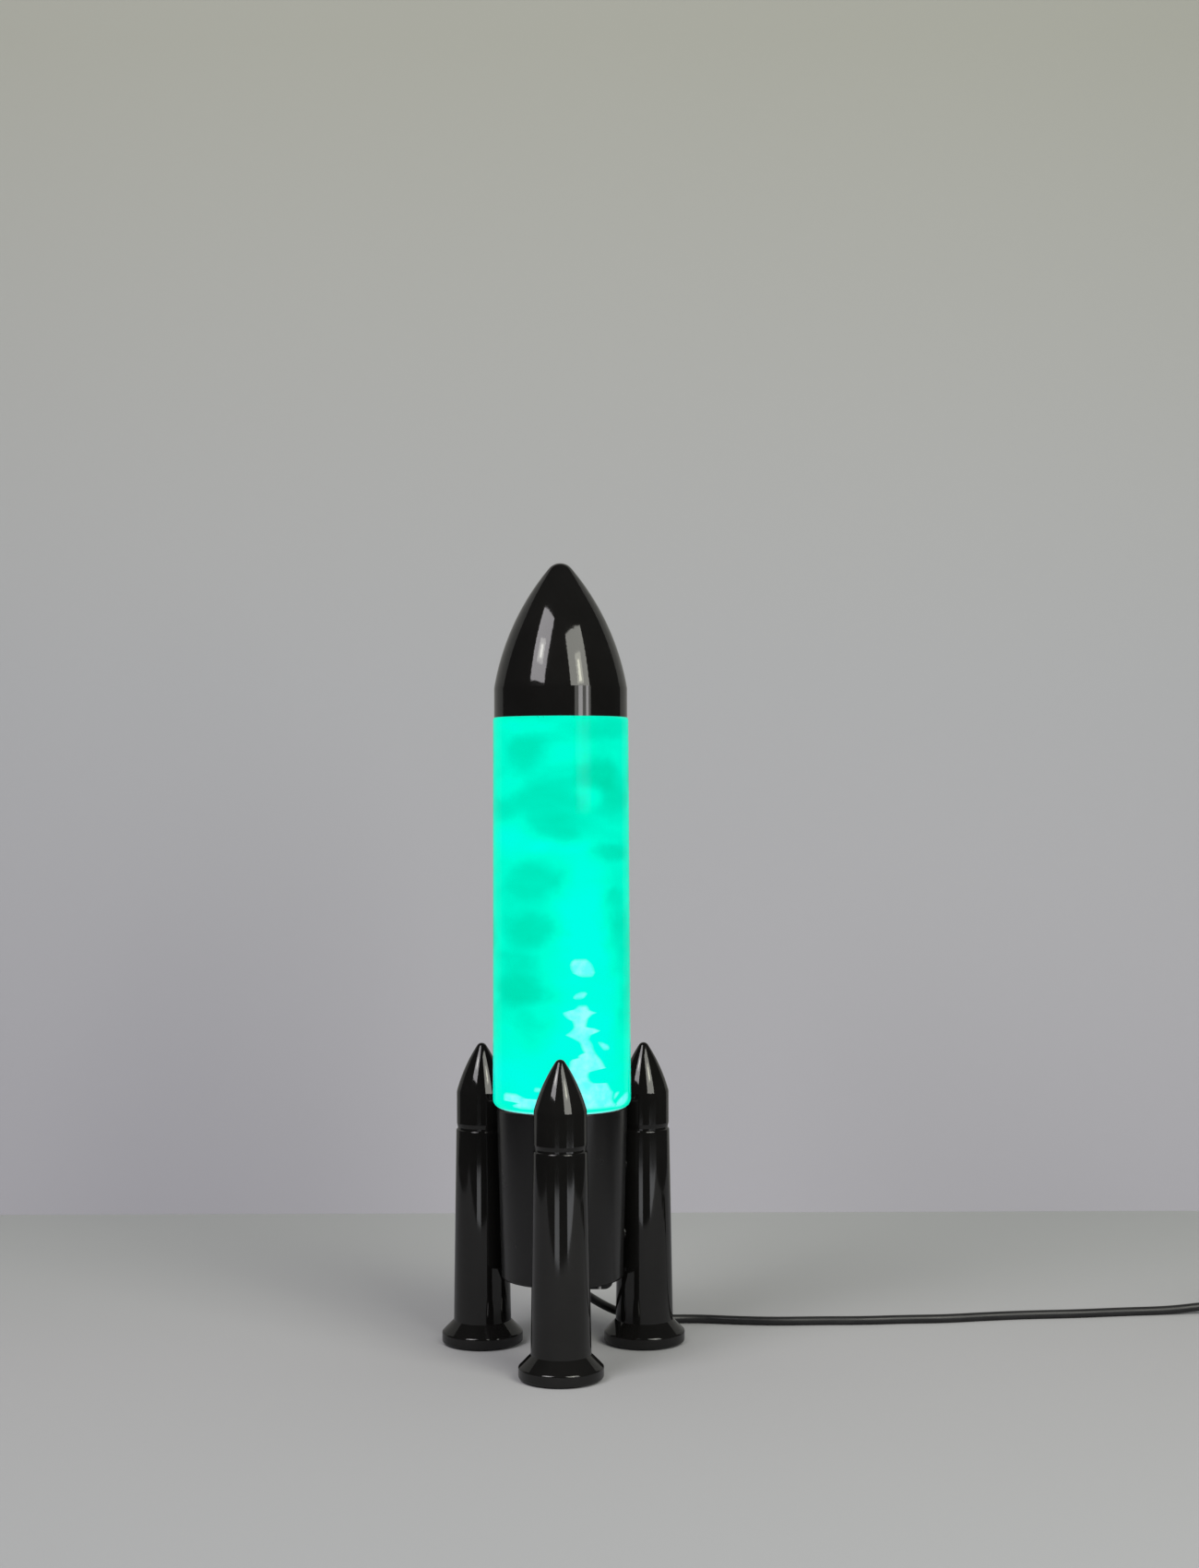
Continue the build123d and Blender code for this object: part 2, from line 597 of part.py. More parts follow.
def cord_clamp_cover():
    """Small box under the bottom cover; its right end curves up into a thin flange."""
    bottom = COVER_BOTTOM - CLAMP_DROP
    cove = CLAMP_DROP - CLAMP_FLANGE
    end = CLAMP_HIGH[0]
    lip = bottom + CLAMP_LIP
    edges = [
        Line((CLAMP_LOW[0], COVER_BOTTOM), (CLAMP_LOW[0], bottom)),
        Line((CLAMP_LOW[0], bottom), (end, bottom)),
        Line((end, bottom), (end, lip)),
        RadiusArc((end, lip), (end + cove, lip + cove), -cove),
        Line((end + cove, lip + cove), (end + cove, COVER_BOTTOM)),
        Line((end + cove, COVER_BOTTOM), (CLAMP_LOW[0], COVER_BOTTOM)),
    ]
    form = extrude(Plane.XZ * make_face(edges), CLAMP_HIGH[1] - CLAMP_LOW[1])
    form = Pos(0, CLAMP_HIGH[1], 0) * form
    form &= post(0, 0, 0, BASE_TOP, CLAMP_TRIM)
    room = block((CLAMP_LOW[0] + CLAMP_WALL, CLAMP_LOW[1] + CLAMP_WALL, bottom + CLAMP_WALL),
                 (end - CLAMP_WALL, CLAMP_HIGH[1] - CLAMP_WALL, COVER_BOTTOM + 1))
    form -= room
    whole = block((*CLAMP_LOW, bottom), (*CLAMP_HIGH, COVER_BOTTOM))
    for x, y in CLAMP_SCREWS:
        form += post(x, y, bottom, COVER_BOTTOM, SCREW_BOSS) & whole
        form -= post(x, y, bottom - 1, COVER_BOTTOM + 1, SCREW_HOLE)
        form -= post(x, y, bottom - 1, bottom + SCREW_HEAD_HEIGHT, SCREW_HEAD_HOLE)
    return form - strain_relief_form(CORD_CLEARANCE)


def cover_screws():
    length = COVER_THICKNESS + SCREW_BITE
    return [screw_up(*on_circle(BOSS_CIRCLE, angle), COVER_BOTTOM, length) for angle in BOSS_ANGLES]


def cord_clamp_screws():
    seat = COVER_BOTTOM - CLAMP_DROP + SCREW_HEAD_HEIGHT
    return [screw_up(x, y, seat, COVER_TOP - seat) for x, y in CLAMP_SCREWS]


def heat_shield():
    top = SPIGOT_BOTTOM - SHIELD_TOP_GAP
    inner = SHIELD_RADIUS - SHIELD_WALL
    form = turned((inner, BOSS_TOP), (SHIELD_FLANGE, BOSS_TOP), (SHIELD_FLANGE, BOSS_TOP + SHIELD_WALL),
                  (SHIELD_RADIUS, BOSS_TOP + SHIELD_WALL), (SHIELD_RADIUS, top), (inner, top))
    for angle in BOSS_ANGLES:
        x, y = on_circle(BOSS_CIRCLE, angle)
        form -= post(x, y, BOSS_TOP - 1, BOSS_TOP + SHIELD_WALL + 1, SCREW_HOLE)
    return form


def shield_screws():
    seat = BOSS_TOP + SHIELD_WALL
    return [screw_down(*on_circle(BOSS_CIRCLE, angle), seat, SCREW_BITE) for angle in BOSS_ANGLES]


def lampholder_body():
    flange_top = COVER_TOP + HOLDER_FLANGE_HEIGHT
    form = turned((0, COVER_TOP), (HOLDER_FLANGE, COVER_TOP), (HOLDER_FLANGE, flange_top, 0.8),
                  (HOLDER_RADIUS, flange_top), (HOLDER_RADIUS, HOLDER_TOP, 1.0), (0, HOLDER_TOP))
    form -= post(0, 0, COVER_TOP - 1, CHAMBER_TOP, CHAMBER_RADIUS)
    form -= post(0, 0, PARTITION_TOP, HOLDER_TOP + 1, SHELL_RADIUS + SHELL_WALL + SKIN_GAP)
    form -= post(0, 0, CHAMBER_TOP - 1, PARTITION_TOP + 1, SCREW_HOLE)
    for side in (-1, 1):
        form -= post(0, side * HOLDER_SCREW_OFFSET, COVER_TOP - 1, flange_top + 1, SCREW_HOLE)
    return form


def lampholder_shell():
    outer = SHELL_RADIUS + SHELL_WALL
    rim = CONTACT_RADIUS + CONTACT_GAP
    top = HOLDER_TOP - SHELL_SINK
    return turned((rim, PARTITION_TOP), (outer, PARTITION_TOP), (outer, top), (SHELL_RADIUS, top),
                  (SHELL_RADIUS, PARTITION_TOP + SHELL_WALL), (rim, PARTITION_TOP + SHELL_WALL))


def lampholder_contact():
    stem = post(0, 0, CHAMBER_TOP - CONTACT_STEM, PARTITION_TOP, SCREW_RADIUS)
    return stem + post(0, 0, PARTITION_TOP, CONTACT_TOP, CONTACT_RADIUS)


def lampholder_terminals():
    width, depth, height = TERMINAL_SIZE
    pieces = []
    for side in (-1, 1):
        low = (side * TERMINAL_OFFSET - width / 2, -depth / 2, CHAMBER_TOP - height)
        pieces.append(block(low, (low[0] + width, depth / 2, CHAMBER_TOP)))
    return pieces


def lampholder_screws():
    seat = COVER_TOP + HOLDER_FLANGE_HEIGHT
    length = seat - COVER_BOTTOM
    return [screw_down(0, side * HOLDER_SCREW_OFFSET, seat, length) for side in (-1, 1)]


def wire(name, side):
    """Insulated core from the flex's end up to its terminal."""
    along = (RELIEF_END - RELIEF_START).normalized()
    across = Vector(along.Y, -along.X, 0).normalized()
    start = RELIEF_START - along * RELIEF_TAIL + across * side * WIRE_OFFSET
    terminal = CHAMBER_TOP - TERMINAL_SIZE[2]
    points = [start, start - along * 2.6, Vector(side * 2.4 - 0.8, -6.4, COVER_TOP - 0.2),
              Vector(side * 6.6, -3.6, COVER_TOP + 0.4), Vector(side * TERMINAL_OFFSET, 0, terminal)]
    core = tube(name, points, WIRE_RADIUS)
    for block_of_brass in lampholder_terminals():
        core -= block_of_brass
    return core


# Lamp
def lamp_form(inset):
    bottom = LAMP_GLASS_BOTTOM
    return turned(
        (0, bottom + inset), (LAMP_NECK - inset, bottom + inset),
        (LAMP_NECK - inset, bottom + LAMP_NECK_LENGTH, LAMP_NECK_ROUND + inset),
        (LAMP_RADIUS - inset, bottom + LAMP_CONE_TOP, LAMP_CONE_ROUND - inset),
        (LAMP_RADIUS - inset, LAMP_TOP - LAMP_CROWN, LAMP_CROWN_ROUND - inset),
        (0, LAMP_TOP - inset),
    )


def bulb_envelope():
    return lamp_form(0) - lamp_form(LAMP_GLASS_WALL)


def bulb_cap():
    low = LAMP_BOTTOM + LAMP_CONTACT_HEIGHT
    collar = LAMP_NECK + LAMP_COLLAR_WALL
    sleeve = LAMP_NECK + SKIN_GAP
    flare = HOLDER_TOP + LAMP_FLARE_GAP
    rim = LAMP_GLASS_BOTTOM + LAMP_COLLAR_GRIP
    return turned((0, low), (LAMP_CONTACT_RADIUS + 0.6, low), (LAMP_CAP_RADIUS, low + 2.3, 0.5),
                  (LAMP_CAP_RADIUS, flare), (collar, flare + 2), (collar, rim), (sleeve, rim),
                  (sleeve, LAMP_GLASS_BOTTOM), (0, LAMP_GLASS_BOTTOM))


def bulb_contact():
    return post(0, 0, LAMP_BOTTOM, LAMP_BOTTOM + LAMP_CONTACT_HEIGHT, LAMP_CONTACT_RADIUS)


def bulb_filament():
    """Two support wires from the stem, and the filament across their ends."""
    foot = LAMP_GLASS_BOTTOM + LAMP_GLASS_WALL
    head = LAMP_TOP - FILAMENT_DROP
    end = FILAMENT_REACH + 0.3
    legs = [rod(Vector(side * FILAMENT_FEET, 0, foot), Vector(side * FILAMENT_REACH, 0, head), FILAMENT_WIRE)
            for side in (-1, 1)]
    return legs[0] + legs[1] + rod(Vector(-end, 0, head), Vector(end, 0, head), FILAMENT_WIRE)


# Boosters: each is made in front of the lamp and then turned into place
def in_front(*corners):
    return Pos(0, -BOOSTER_CIRCLE, 0) * turned(*corners)


def booster_body():
    bore = post(0, -BOOSTER_CIRCLE, 0, BOOSTER_JOINT + 1, BOOSTER_BORE)
    form = in_front((0, FOOT_TOP), (BOOSTER_FOOT_RADIUS, FOOT_TOP),
                    (BOOSTER_TOP_RADIUS, BOOSTER_JOINT, BOOSTER_TOP_ROUND), (0, BOOSTER_JOINT))
    for height in BRIDGE_HEIGHTS:
        bridge = rod(Vector(0, -BOOSTER_CIRCLE, height), Vector(0, -BOSS_CIRCLE, height), BRIDGE_RADIUS)
        form += bridge - housing_cone(0, BASE_BOTTOM, BASE_TOP)
        form -= rod(Vector(0, -BOOSTER_CIRCLE, height), Vector(0, -BOSS_CIRCLE, height), SCREW_HOLE)
    return form - bore


def booster_screws():
    pieces = []
    for angle in BOOSTERS.values():
        for height in BRIDGE_HEIGHTS:
            inner = housing_radius(height - SCREW_HEAD_RADIUS) - BASE_WALL
            seat = math.sqrt(inner**2 - SCREW_HEAD_RADIUS**2)
            tip = BOOSTER_CIRCLE - BOOSTER_BORE - 0.5
            shank = rod(Vector(0, -seat, height), Vector(0, -tip, height), SCREW_RADIUS)
            back = Vector(0, -seat + SCREW_HEAD_HEIGHT, height)
            head = rod(back, Vector(0, -seat, height), SCREW_HEAD_RADIUS)
            pieces.append(around(shank + head, angle))
    return pieces


def booster_nose():
    """Collar, chamfered in below to a groove, and a bullet tip; a plug goes down into the body."""
    shoulder = BOOSTER_HEIGHT - BOOSTER_CONE_LENGTH
    neck = BOOSTER_TOP_RADIUS - GROOVE_DEPTH
    groove_top = BOOSTER_JOINT + GROOVE_LAND
    collar = BOOSTER_JOINT + GROOVE_HEIGHT
    plug = BOOSTER_BORE - BOOSTER_PLUG_CLEARANCE
    plug_end = BOOSTER_JOINT - BOOSTER_PLUG_LENGTH
    tip = bullet(BOOSTER_COLLAR, collar, shoulder, BOOSTER_HEIGHT, BOOSTER_TIP_RADIUS, BOOSTER_CONE_LEAN)
    rim = tip.edges().filter_by_position(Axis.Z, shoulder - SKIN_GAP, shoulder + SKIN_GAP)
    form = Pos(0, -BOOSTER_CIRCLE, 0) * fillet(rim, BOOSTER_SHOULDER_ROUND)
    form += in_front(
        (0, plug_end), (plug, plug_end, PLUG_END_ROUND), (plug, BOOSTER_JOINT), (neck, BOOSTER_JOINT),
        (neck, groove_top), (BOOSTER_COLLAR, collar), (0, collar),
    )
    bore = plug - NOSE_BORE_WALL
    mouth = plug_end - 1
    point, point_rise = NOSE_BORE_POINT
    form -= in_front((0, mouth), (bore, mouth), (bore, mouth + NOSE_BORE_DEPTH),
                     (point, shoulder + point_rise), (0, shoulder + point_rise))
    return form


def booster_foot():
    plug = BOOSTER_BORE - BOOSTER_PLUG_CLEARANCE
    plug_top = FOOT_TOP + BOOSTER_PLUG_LENGTH
    form = in_front(
        (0, FOOT_RIM_BOTTOM), (FOOT_RIM_RADIUS, FOOT_RIM_BOTTOM, FOOT_ROUND),
        (FOOT_RIM_RADIUS, FOOT_RIM_TOP, FOOT_ROUND), (BOOSTER_FOOT_RADIUS, FOOT_TOP),
        (plug, FOOT_TOP), (plug, plug_top, PLUG_END_ROUND), (0, plug_top),
    )
    return form - post(0, -BOOSTER_CIRCLE, 0, PAD_THICKNESS, PAD_RADIUS + PAD_CLEARANCE)


def foot_pad():
    return in_front((0, 0), (PAD_RADIUS, 0, PAD_ROUND), (PAD_RADIUS, PAD_THICKNESS), (0, PAD_THICKNESS))


# Flex, in-line switch, coil and plug
def power_cord():
    along = (RELIEF_END - RELIEF_START).normalized()
    inside = RELIEF_START - along * RELIEF_TAIL
    grip = Vector(SWITCH_IN + SWITCH_GRIP, SWITCH_CENTRE[1], SWITCH_SPLIT)
    clamped = rod(inside, CORD_ROUTE[0], CORD_RADIUS)
    gripped = rod(CORD_ROUTE[-1], grip, CORD_RADIUS)
    return clamped + tube("power_cord", CORD_ROUTE, CORD_RADIUS) + gripped


def cord_switch_to_coil():
    grip = Vector(SWITCH_OUT - SWITCH_GRIP, SWITCH_CENTRE[1], SWITCH_SPLIT)
    gripped = rod(grip, CORD_AFTER_SWITCH[0], CORD_RADIUS)
    return gripped + tube("cord_switch_to_coil", CORD_AFTER_SWITCH, CORD_RADIUS)


def cord_coil():
    inner = COIL_MEAN_RADIUS - COIL_REACH - COIL_SLACK
    outer = COIL_MEAN_RADIUS + COIL_REACH + COIL_SLACK
    edge = CORD_RADIUS - COIL_EDGE_INSET
    ring = turned((inner, COIL_REST, edge), (outer, COIL_REST, edge), (outer, COIL_TOP, edge),
                  (inner, COIL_TOP, edge))
    print("cord_coil length", round(COIL_TURNS * 2 * math.pi * COIL_MEAN_RADIUS))
    return Pos(*COIL_CENTRE, 0) * ring


def cable_tie():
    """Flat strap round the coil's section on its -X side, with its lock on top."""
    reach = COIL_REACH + COIL_SLACK + TIE_CLEARANCE
    inner = COIL_CENTRE[0] - COIL_MEAN_RADIUS - reach
    outer = COIL_CENTRE[0] - COIL_MEAN_RADIUS + reach
    ceiling = COIL_TOP + TIE_CLEARANCE / 2
    y = COIL_CENTRE[1]
    half = TIE_WIDTH / 2
    bottom = COIL_REST - TIE_THICKNESS
    top = COIL_TOP + TIE_THICKNESS
    strap = block((inner - TIE_THICKNESS, y - half, bottom), (outer + TIE_THICKNESS, y + half, top))
    strap = fillet(strap.edges().filter_by(Axis.Y), TIE_ROUND)
    hole = block((inner, y - TIE_WIDTH, COIL_REST), (outer, y + TIE_WIDTH, ceiling))
    hole = fillet(hole.edges().filter_by(Axis.Y), TIE_ROUND - TIE_THICKNESS)
    lock = block((inner + TIE_LOCK[0], y - half - 1, ceiling),
                 (inner + TIE_LOCK[1], y + half + 1, ceiling + TIE_LOCK_HEIGHT))
    return strap - hole + lock


def cord_coil_to_plug():
    return tube("cord_coil_to_plug", CORD_AFTER_COIL, CORD_RADIUS) - plug_strain_relief()


def switch_form(inset, bottom, top):
    """Rounded bar between two heights, centred on the switch."""
    face = RectangleRounded(SWITCH_LENGTH - 2 * inset, SWITCH_WIDTH - 2 * inset, SWITCH_ROUND - inset / 2)
    return Pos(*SWITCH_CENTRE, bottom) * extrude(face, top - bottom)


def switch_channels():
    """Room for the flex at both ends, half in each shell."""
    y = SWITCH_CENTRE[1]
    radius = CORD_RADIUS + CORD_CLEARANCE
    half = Vector(SWITCH_GRIP + SWITCH_CHANNEL_RUN, 0, 0)
    ends = [Vector(x, y, SWITCH_SPLIT) for x in (SWITCH_IN, SWITCH_OUT)]
    left, right = [rod(end - half, end + half, radius) for end in ends]
    return left + right


def switch_screw_places():
    x, y = SWITCH_CENTRE
    dx = SWITCH_LENGTH / 2 - SWITCH_SCREW_INSET[0]
    dy = SWITCH_WIDTH / 2 - SWITCH_SCREW_INSET[1]
    return [(x - dx, y + dy), (x + dx, y - dy)]


def switch_middle():
    """Block of the switch's inside, between the ribs that grip the flex."""
    x, y = SWITCH_CENTRE
    half = SWITCH_LENGTH / 2 - SWITCH_GRIP - SWITCH_RIB
    return block((x - half, y - SWITCH_WIDTH, 0), (x + half, y + SWITCH_WIDTH, SWITCH_TOP))


def switch_lower_shell():
    form = switch_form(0, SWITCH_BOTTOM, SWITCH_SPLIT)
    form = fillet(form.faces().sort_by(Axis.Z)[0].edges(), SWITCH_BOTTOM_ROUND)
    room = switch_form(SWITCH_WALL, SWITCH_BOTTOM + SWITCH_WALL, SWITCH_SPLIT + 1)
    form -= room & switch_middle()
    for sx, sy in switch_screw_places():
        form += post(sx, sy, SWITCH_BOTTOM, SWITCH_SPLIT, SCREW_BOSS)
        form -= post(sx, sy, 0, SWITCH_TOP, SCREW_HOLE)
        form -= post(sx, sy, 0, SWITCH_BOTTOM + SCREW_HEAD_HEIGHT, SCREW_HEAD_HOLE)
    return form - switch_channels()


def rocker_axis():
    return Vector(SWITCH_CENTRE[0], SWITCH_CENTRE[1], ROCKER_PIVOT_HEIGHT)


def across_switch(radius, length):
    """Cylinder about the rocker's pivot, lying along Y."""
    half = Vector(0, length / 2, 0)
    return rod(rocker_axis() - half, rocker_axis() + half, radius)


def switch_upper_shell():
    form = switch_form(0, SWITCH_SPLIT, SWITCH_TOP)
    form = fillet(form.faces().sort_by(Axis.Z)[-1].edges(), SWITCH_TOP_ROUND)
    room = switch_form(SWITCH_WALL, SWITCH_SPLIT - 1, SWITCH_TOP - SWITCH_WALL)
    form -= room & switch_middle()
    x, y = SWITCH_CENTRE
    cheek = ROCKER_WIDTH / 2 + ROCKER_GAP
    half, depth = SWITCH_CHEEK[0] / 2, cheek + SWITCH_CHEEK[1]
    ceiling = SWITCH_TOP - SWITCH_WALL / 2
    cheeks = block((x - half, y - depth, SWITCH_SPLIT + 3), (x + half, y + depth, ceiling))
    form += cheeks - block((x - half, y - cheek, 0), (x + half, y + cheek, SWITCH_TOP))
    form -= across_switch(ROCKER_RADIUS + ROCKER_GAP, 2 * cheek)
    form -= across_switch(ROCKER_PIN_RADIUS + SKIN_GAP, 2 * (cheek + ROCKER_PIN_LENGTH))
    for sx, sy in switch_screw_places():
        form += post(sx, sy, SWITCH_SPLIT, SWITCH_TOP - SWITCH_WALL / 2, SCREW_HEAD_RADIUS)
        form -= post(sx, sy, 0, SWITCH_TOP - 2 * SWITCH_WALL, SCREW_HOLE)
    return form - switch_channels()


def switch_rocker():
    """Two sloping halves about the pivot, resting with one end down."""
    x, y = SWITCH_CENTRE
    drum = across_switch(ROCKER_RADIUS, ROCKER_WIDTH)
    low = ROCKER_PIVOT_HEIGHT - ROCKER_DROP
    far = 2 * ROCKER_RADIUS
    drum &= block((x - far, y - far, low), (x + far, y + far, ROCKER_PIVOT_HEIGHT + far))
    ridge = Pos(x, y, ROCKER_PIVOT_HEIGHT + ROCKER_RISE)
    for side in (-1, 1):
        over = Box(2 * far, 2 * far, far, align=(Align.CENTER, Align.CENTER, Align.MIN))
        drum -= ridge * Rot(0, -side * ROCKER_TILT, 0) * Pos(side * far, 0, 0) * over
    pins = ROCKER_WIDTH + 2 * (ROCKER_GAP + ROCKER_PIN_LENGTH - ROCKER_PIN_PLAY)
    drum += across_switch(ROCKER_PIN_RADIUS, pins)
    pivot = Pos(*rocker_axis())
    return pivot * Rot(0, ROCKER_TILT, 0) * pivot.inverse() * drum


def switch_contacts():
    """Two brass strips on the lower shell's floor."""
    x, y = SWITCH_CENTRE
    floor = SWITCH_BOTTOM + SWITCH_WALL
    length, width, thickness = CONTACT_STRIP
    pieces = []
    for side in (-1, 1):
        low = (x - length / 2, y + side * CONTACT_STRIP_OFFSET - width / 2, floor)
        pieces.append(block(low, (low[0] + length, low[1] + width, floor + thickness)))
    return pieces


def switch_screws():
    seat = SWITCH_BOTTOM + SCREW_HEAD_HEIGHT
    length = SWITCH_TOP - 2 * SWITCH_WALL - 1 - seat
    return [screw_up(x, y, seat, length) for x, y in switch_screw_places()]


def plug_body():
    """Flat body that narrows from its face to the flex."""
    x, face = PLUG_FACE
    half, neck = PLUG_WIDTH / 2, PLUG_SHOULDER / 2
    taper = face + PLUG_STRAIGHT
    outline = Polyline((x - half, face), (x + half, face), (x + half, taper), (x + neck, PLUG_BACK),
                       (x - neck, PLUG_BACK), (x - half, taper), close=True)
    form = Pos(0, 0, PLUG_REST) * extrude(make_face(outline), PLUG_THICKNESS)
    form = fillet(form.edges().filter_by(Axis.Z), PLUG_ROUND)
    faces = form.faces().sort_by(Axis.Z)
    form = fillet(faces[-1].edges() + faces[0].edges(), PLUG_EDGE_ROUND)
    for pin in plug_pins():
        form -= pin
    return form


def plug_pins():
    """Two round pins, each with a thinner neck at the plug's face and a root inside it."""
    x, face = PLUG_FACE
    pins = []
    for side in (-1, 1):
        centre = x + side * PIN_SPACING / 2
        root, neck, tip = [Vector(centre, y, PLUG_AXIS) for y in (
            face + PIN_ROOT, face - PIN_NECK_LENGTH, face - PIN_LENGTH)]
        pin = rod(neck, tip, PIN_RADIUS)
        pin = fillet(pin.edges().sort_by(Axis.Y)[0], PIN_END_ROUND)
        pins.append(pin + rod(root, neck, PIN_NECK_RADIUS))
    return pins


def plug_strain_relief():
    x = PLUG_FACE[0]
    root = Vector(x, PLUG_BACK, PLUG_AXIS)
    tip = Vector(x, PLUG_BACK + PLUG_RELIEF_LENGTH, PLUG_AXIS)
    return rod(root, tip, *[CORD_RADIUS + wall for wall in PLUG_RELIEF_WALLS])


def save(name, shape):
    """Write one node, as one solid or as a group of separate solids."""
    pieces = shape if isinstance(shape, list) else [shape]
    solids = [solid for piece in pieces for solid in piece.solids()]
    node = solids[0] if len(solids) == 1 else Compound(solids)
    node.label = name
    export_step(node, f"parts/{name}.step")
    print(name, len(solids), round(sum(solid.volume for solid in solids)))


os.makedirs("parts", exist_ok=True)

for piece in (
    glass_bottle, lamp_fluid, wax_mound, wax_blobs, wax_coil_spring, cap_liner, crown_cap, nose_cone,
    base_housing, seat_gasket, bottom_cover, cord_clamp_cover, strain_relief, cover_screws,
    cord_clamp_screws, heat_shield, shield_screws, lampholder_body, lampholder_shell,
    lampholder_contact, lampholder_terminals, lampholder_screws, bulb_envelope, bulb_cap,
    bulb_contact, bulb_filament, booster_screws, power_cord, cord_switch_to_coil, cord_coil,
    cable_tie, cord_coil_to_plug, switch_lower_shell, switch_upper_shell, switch_rocker,
    switch_contacts, switch_screws, plug_body, plug_pins, plug_strain_relief,
):
    save(piece.__name__, piece())

for core, side in (("live_wire", -1), ("neutral_wire", 1)):
    save(core, wire(core, side))

for piece in (booster_body, booster_nose, booster_foot, foot_pad):
    made = piece()
    for name, angle in BOOSTERS.items():
        save(f"{piece.__name__}_{name}", around(made, angle))
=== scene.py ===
import math

import bpy
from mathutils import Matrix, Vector


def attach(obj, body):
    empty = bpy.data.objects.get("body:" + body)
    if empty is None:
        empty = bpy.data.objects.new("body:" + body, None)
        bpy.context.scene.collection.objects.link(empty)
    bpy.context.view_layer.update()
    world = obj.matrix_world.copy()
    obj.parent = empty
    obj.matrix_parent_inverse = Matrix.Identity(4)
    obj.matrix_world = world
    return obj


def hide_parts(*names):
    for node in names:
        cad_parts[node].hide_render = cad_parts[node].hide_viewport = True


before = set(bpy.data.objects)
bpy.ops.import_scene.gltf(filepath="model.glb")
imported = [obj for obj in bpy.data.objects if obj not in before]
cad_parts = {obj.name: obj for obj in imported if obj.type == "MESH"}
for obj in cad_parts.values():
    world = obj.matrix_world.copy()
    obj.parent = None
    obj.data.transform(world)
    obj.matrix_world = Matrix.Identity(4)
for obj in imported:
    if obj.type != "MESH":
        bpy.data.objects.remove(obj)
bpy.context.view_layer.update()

# A rocket-shaped lava lamp, in metres. Its axis is Z, the table is z = 0,
# and the front booster stands on the -Y side.


# ---------------------------------------------------------------- Camera
# A level camera at the height of the lamp's upper half, about as far off as a person
# who looks at a shelf. It stands a little to the right of the lamp's axis.
CAMERA_PLACE = (0.0210, -1.230, 0.3098)
CAMERA_LENS = 51.9
CAMERA_ROLL = 0.19

bpy.ops.object.camera_add(location=CAMERA_PLACE,
                          rotation=(math.radians(90), math.radians(CAMERA_ROLL), 0))
camera = bpy.context.object
camera.data.lens = CAMERA_LENS
camera.data.sensor_width = 36.0
camera.data.sensor_fit = "AUTO"
camera.data.clip_start = 0.01
camera.data.dof.use_dof = False
bpy.context.scene.camera = camera


# ---------------------------------------------------------------- Flex
# Slim round mains flex with a black PVC jacket, 4.8 mm thick. It comes out under the base,
# runs along the table to an in-line switch, and its spare length is tied in a coil by the plug.
FLEX_THICKNESS = 0.0048
FLEX_REST = 0.0025
SWITCH_END_IN = (0.390, 0.0885, 0.006)
SWITCH_END_OUT = (0.450, 0.0885, 0.006)
FLEX_ROUTE = (
    (0.0085, 0.0150, 0.0315),
    (0.0160, 0.0300, 0.0230),
    (0.0270, 0.0445, 0.0135),
    (0.0410, 0.0570, 0.0062),
    (0.0570, 0.0670, 0.0028),
    (0.0770, 0.0690, FLEX_REST),
    (0.0980, 0.0645, FLEX_REST),
    (0.1210, 0.0620, FLEX_REST),
    (0.1460, 0.0632, FLEX_REST),
    (0.1700, 0.0630, FLEX_REST),
    (0.1940, 0.0658, FLEX_REST),
    (0.2180, 0.0668, FLEX_REST),
    (0.2420, 0.0720, FLEX_REST),
    (0.2680, 0.0760, FLEX_REST),
    (0.2960, 0.0780, FLEX_REST),
    (0.3240, 0.0826, FLEX_REST),
    (0.3500, 0.0852, FLEX_REST),
    (0.3700, 0.0880, 0.0039),
    SWITCH_END_IN,
)
COIL_CENTRE = (0.488, 0.0575)
COIL_RADIUS = 0.0264
COIL_LOW = 0.0034
COIL_HIGH = 0.0084
COIL_TURNS = 6.25
COIL_MIDDLE_TURN = 1.3
COIL_CLIMB_START = 2.9
COIL_CLIMB_TURNS = 0.5
POINTS_PER_TURN = 16


def new_material(name):
    """A material with its one Principled shader."""
    made = bpy.data.materials.new(name)
    made.use_nodes = True
    return made, made.node_tree.nodes["Principled BSDF"]


def join(made, out_socket, in_socket):
    """Links one node's output to another's input."""
    made.node_tree.links.new(out_socket, in_socket)


def object_place(made):
    """The piece's own coordinates, in metres."""
    return made.node_tree.nodes.new("ShaderNodeTexCoord").outputs["Object"]


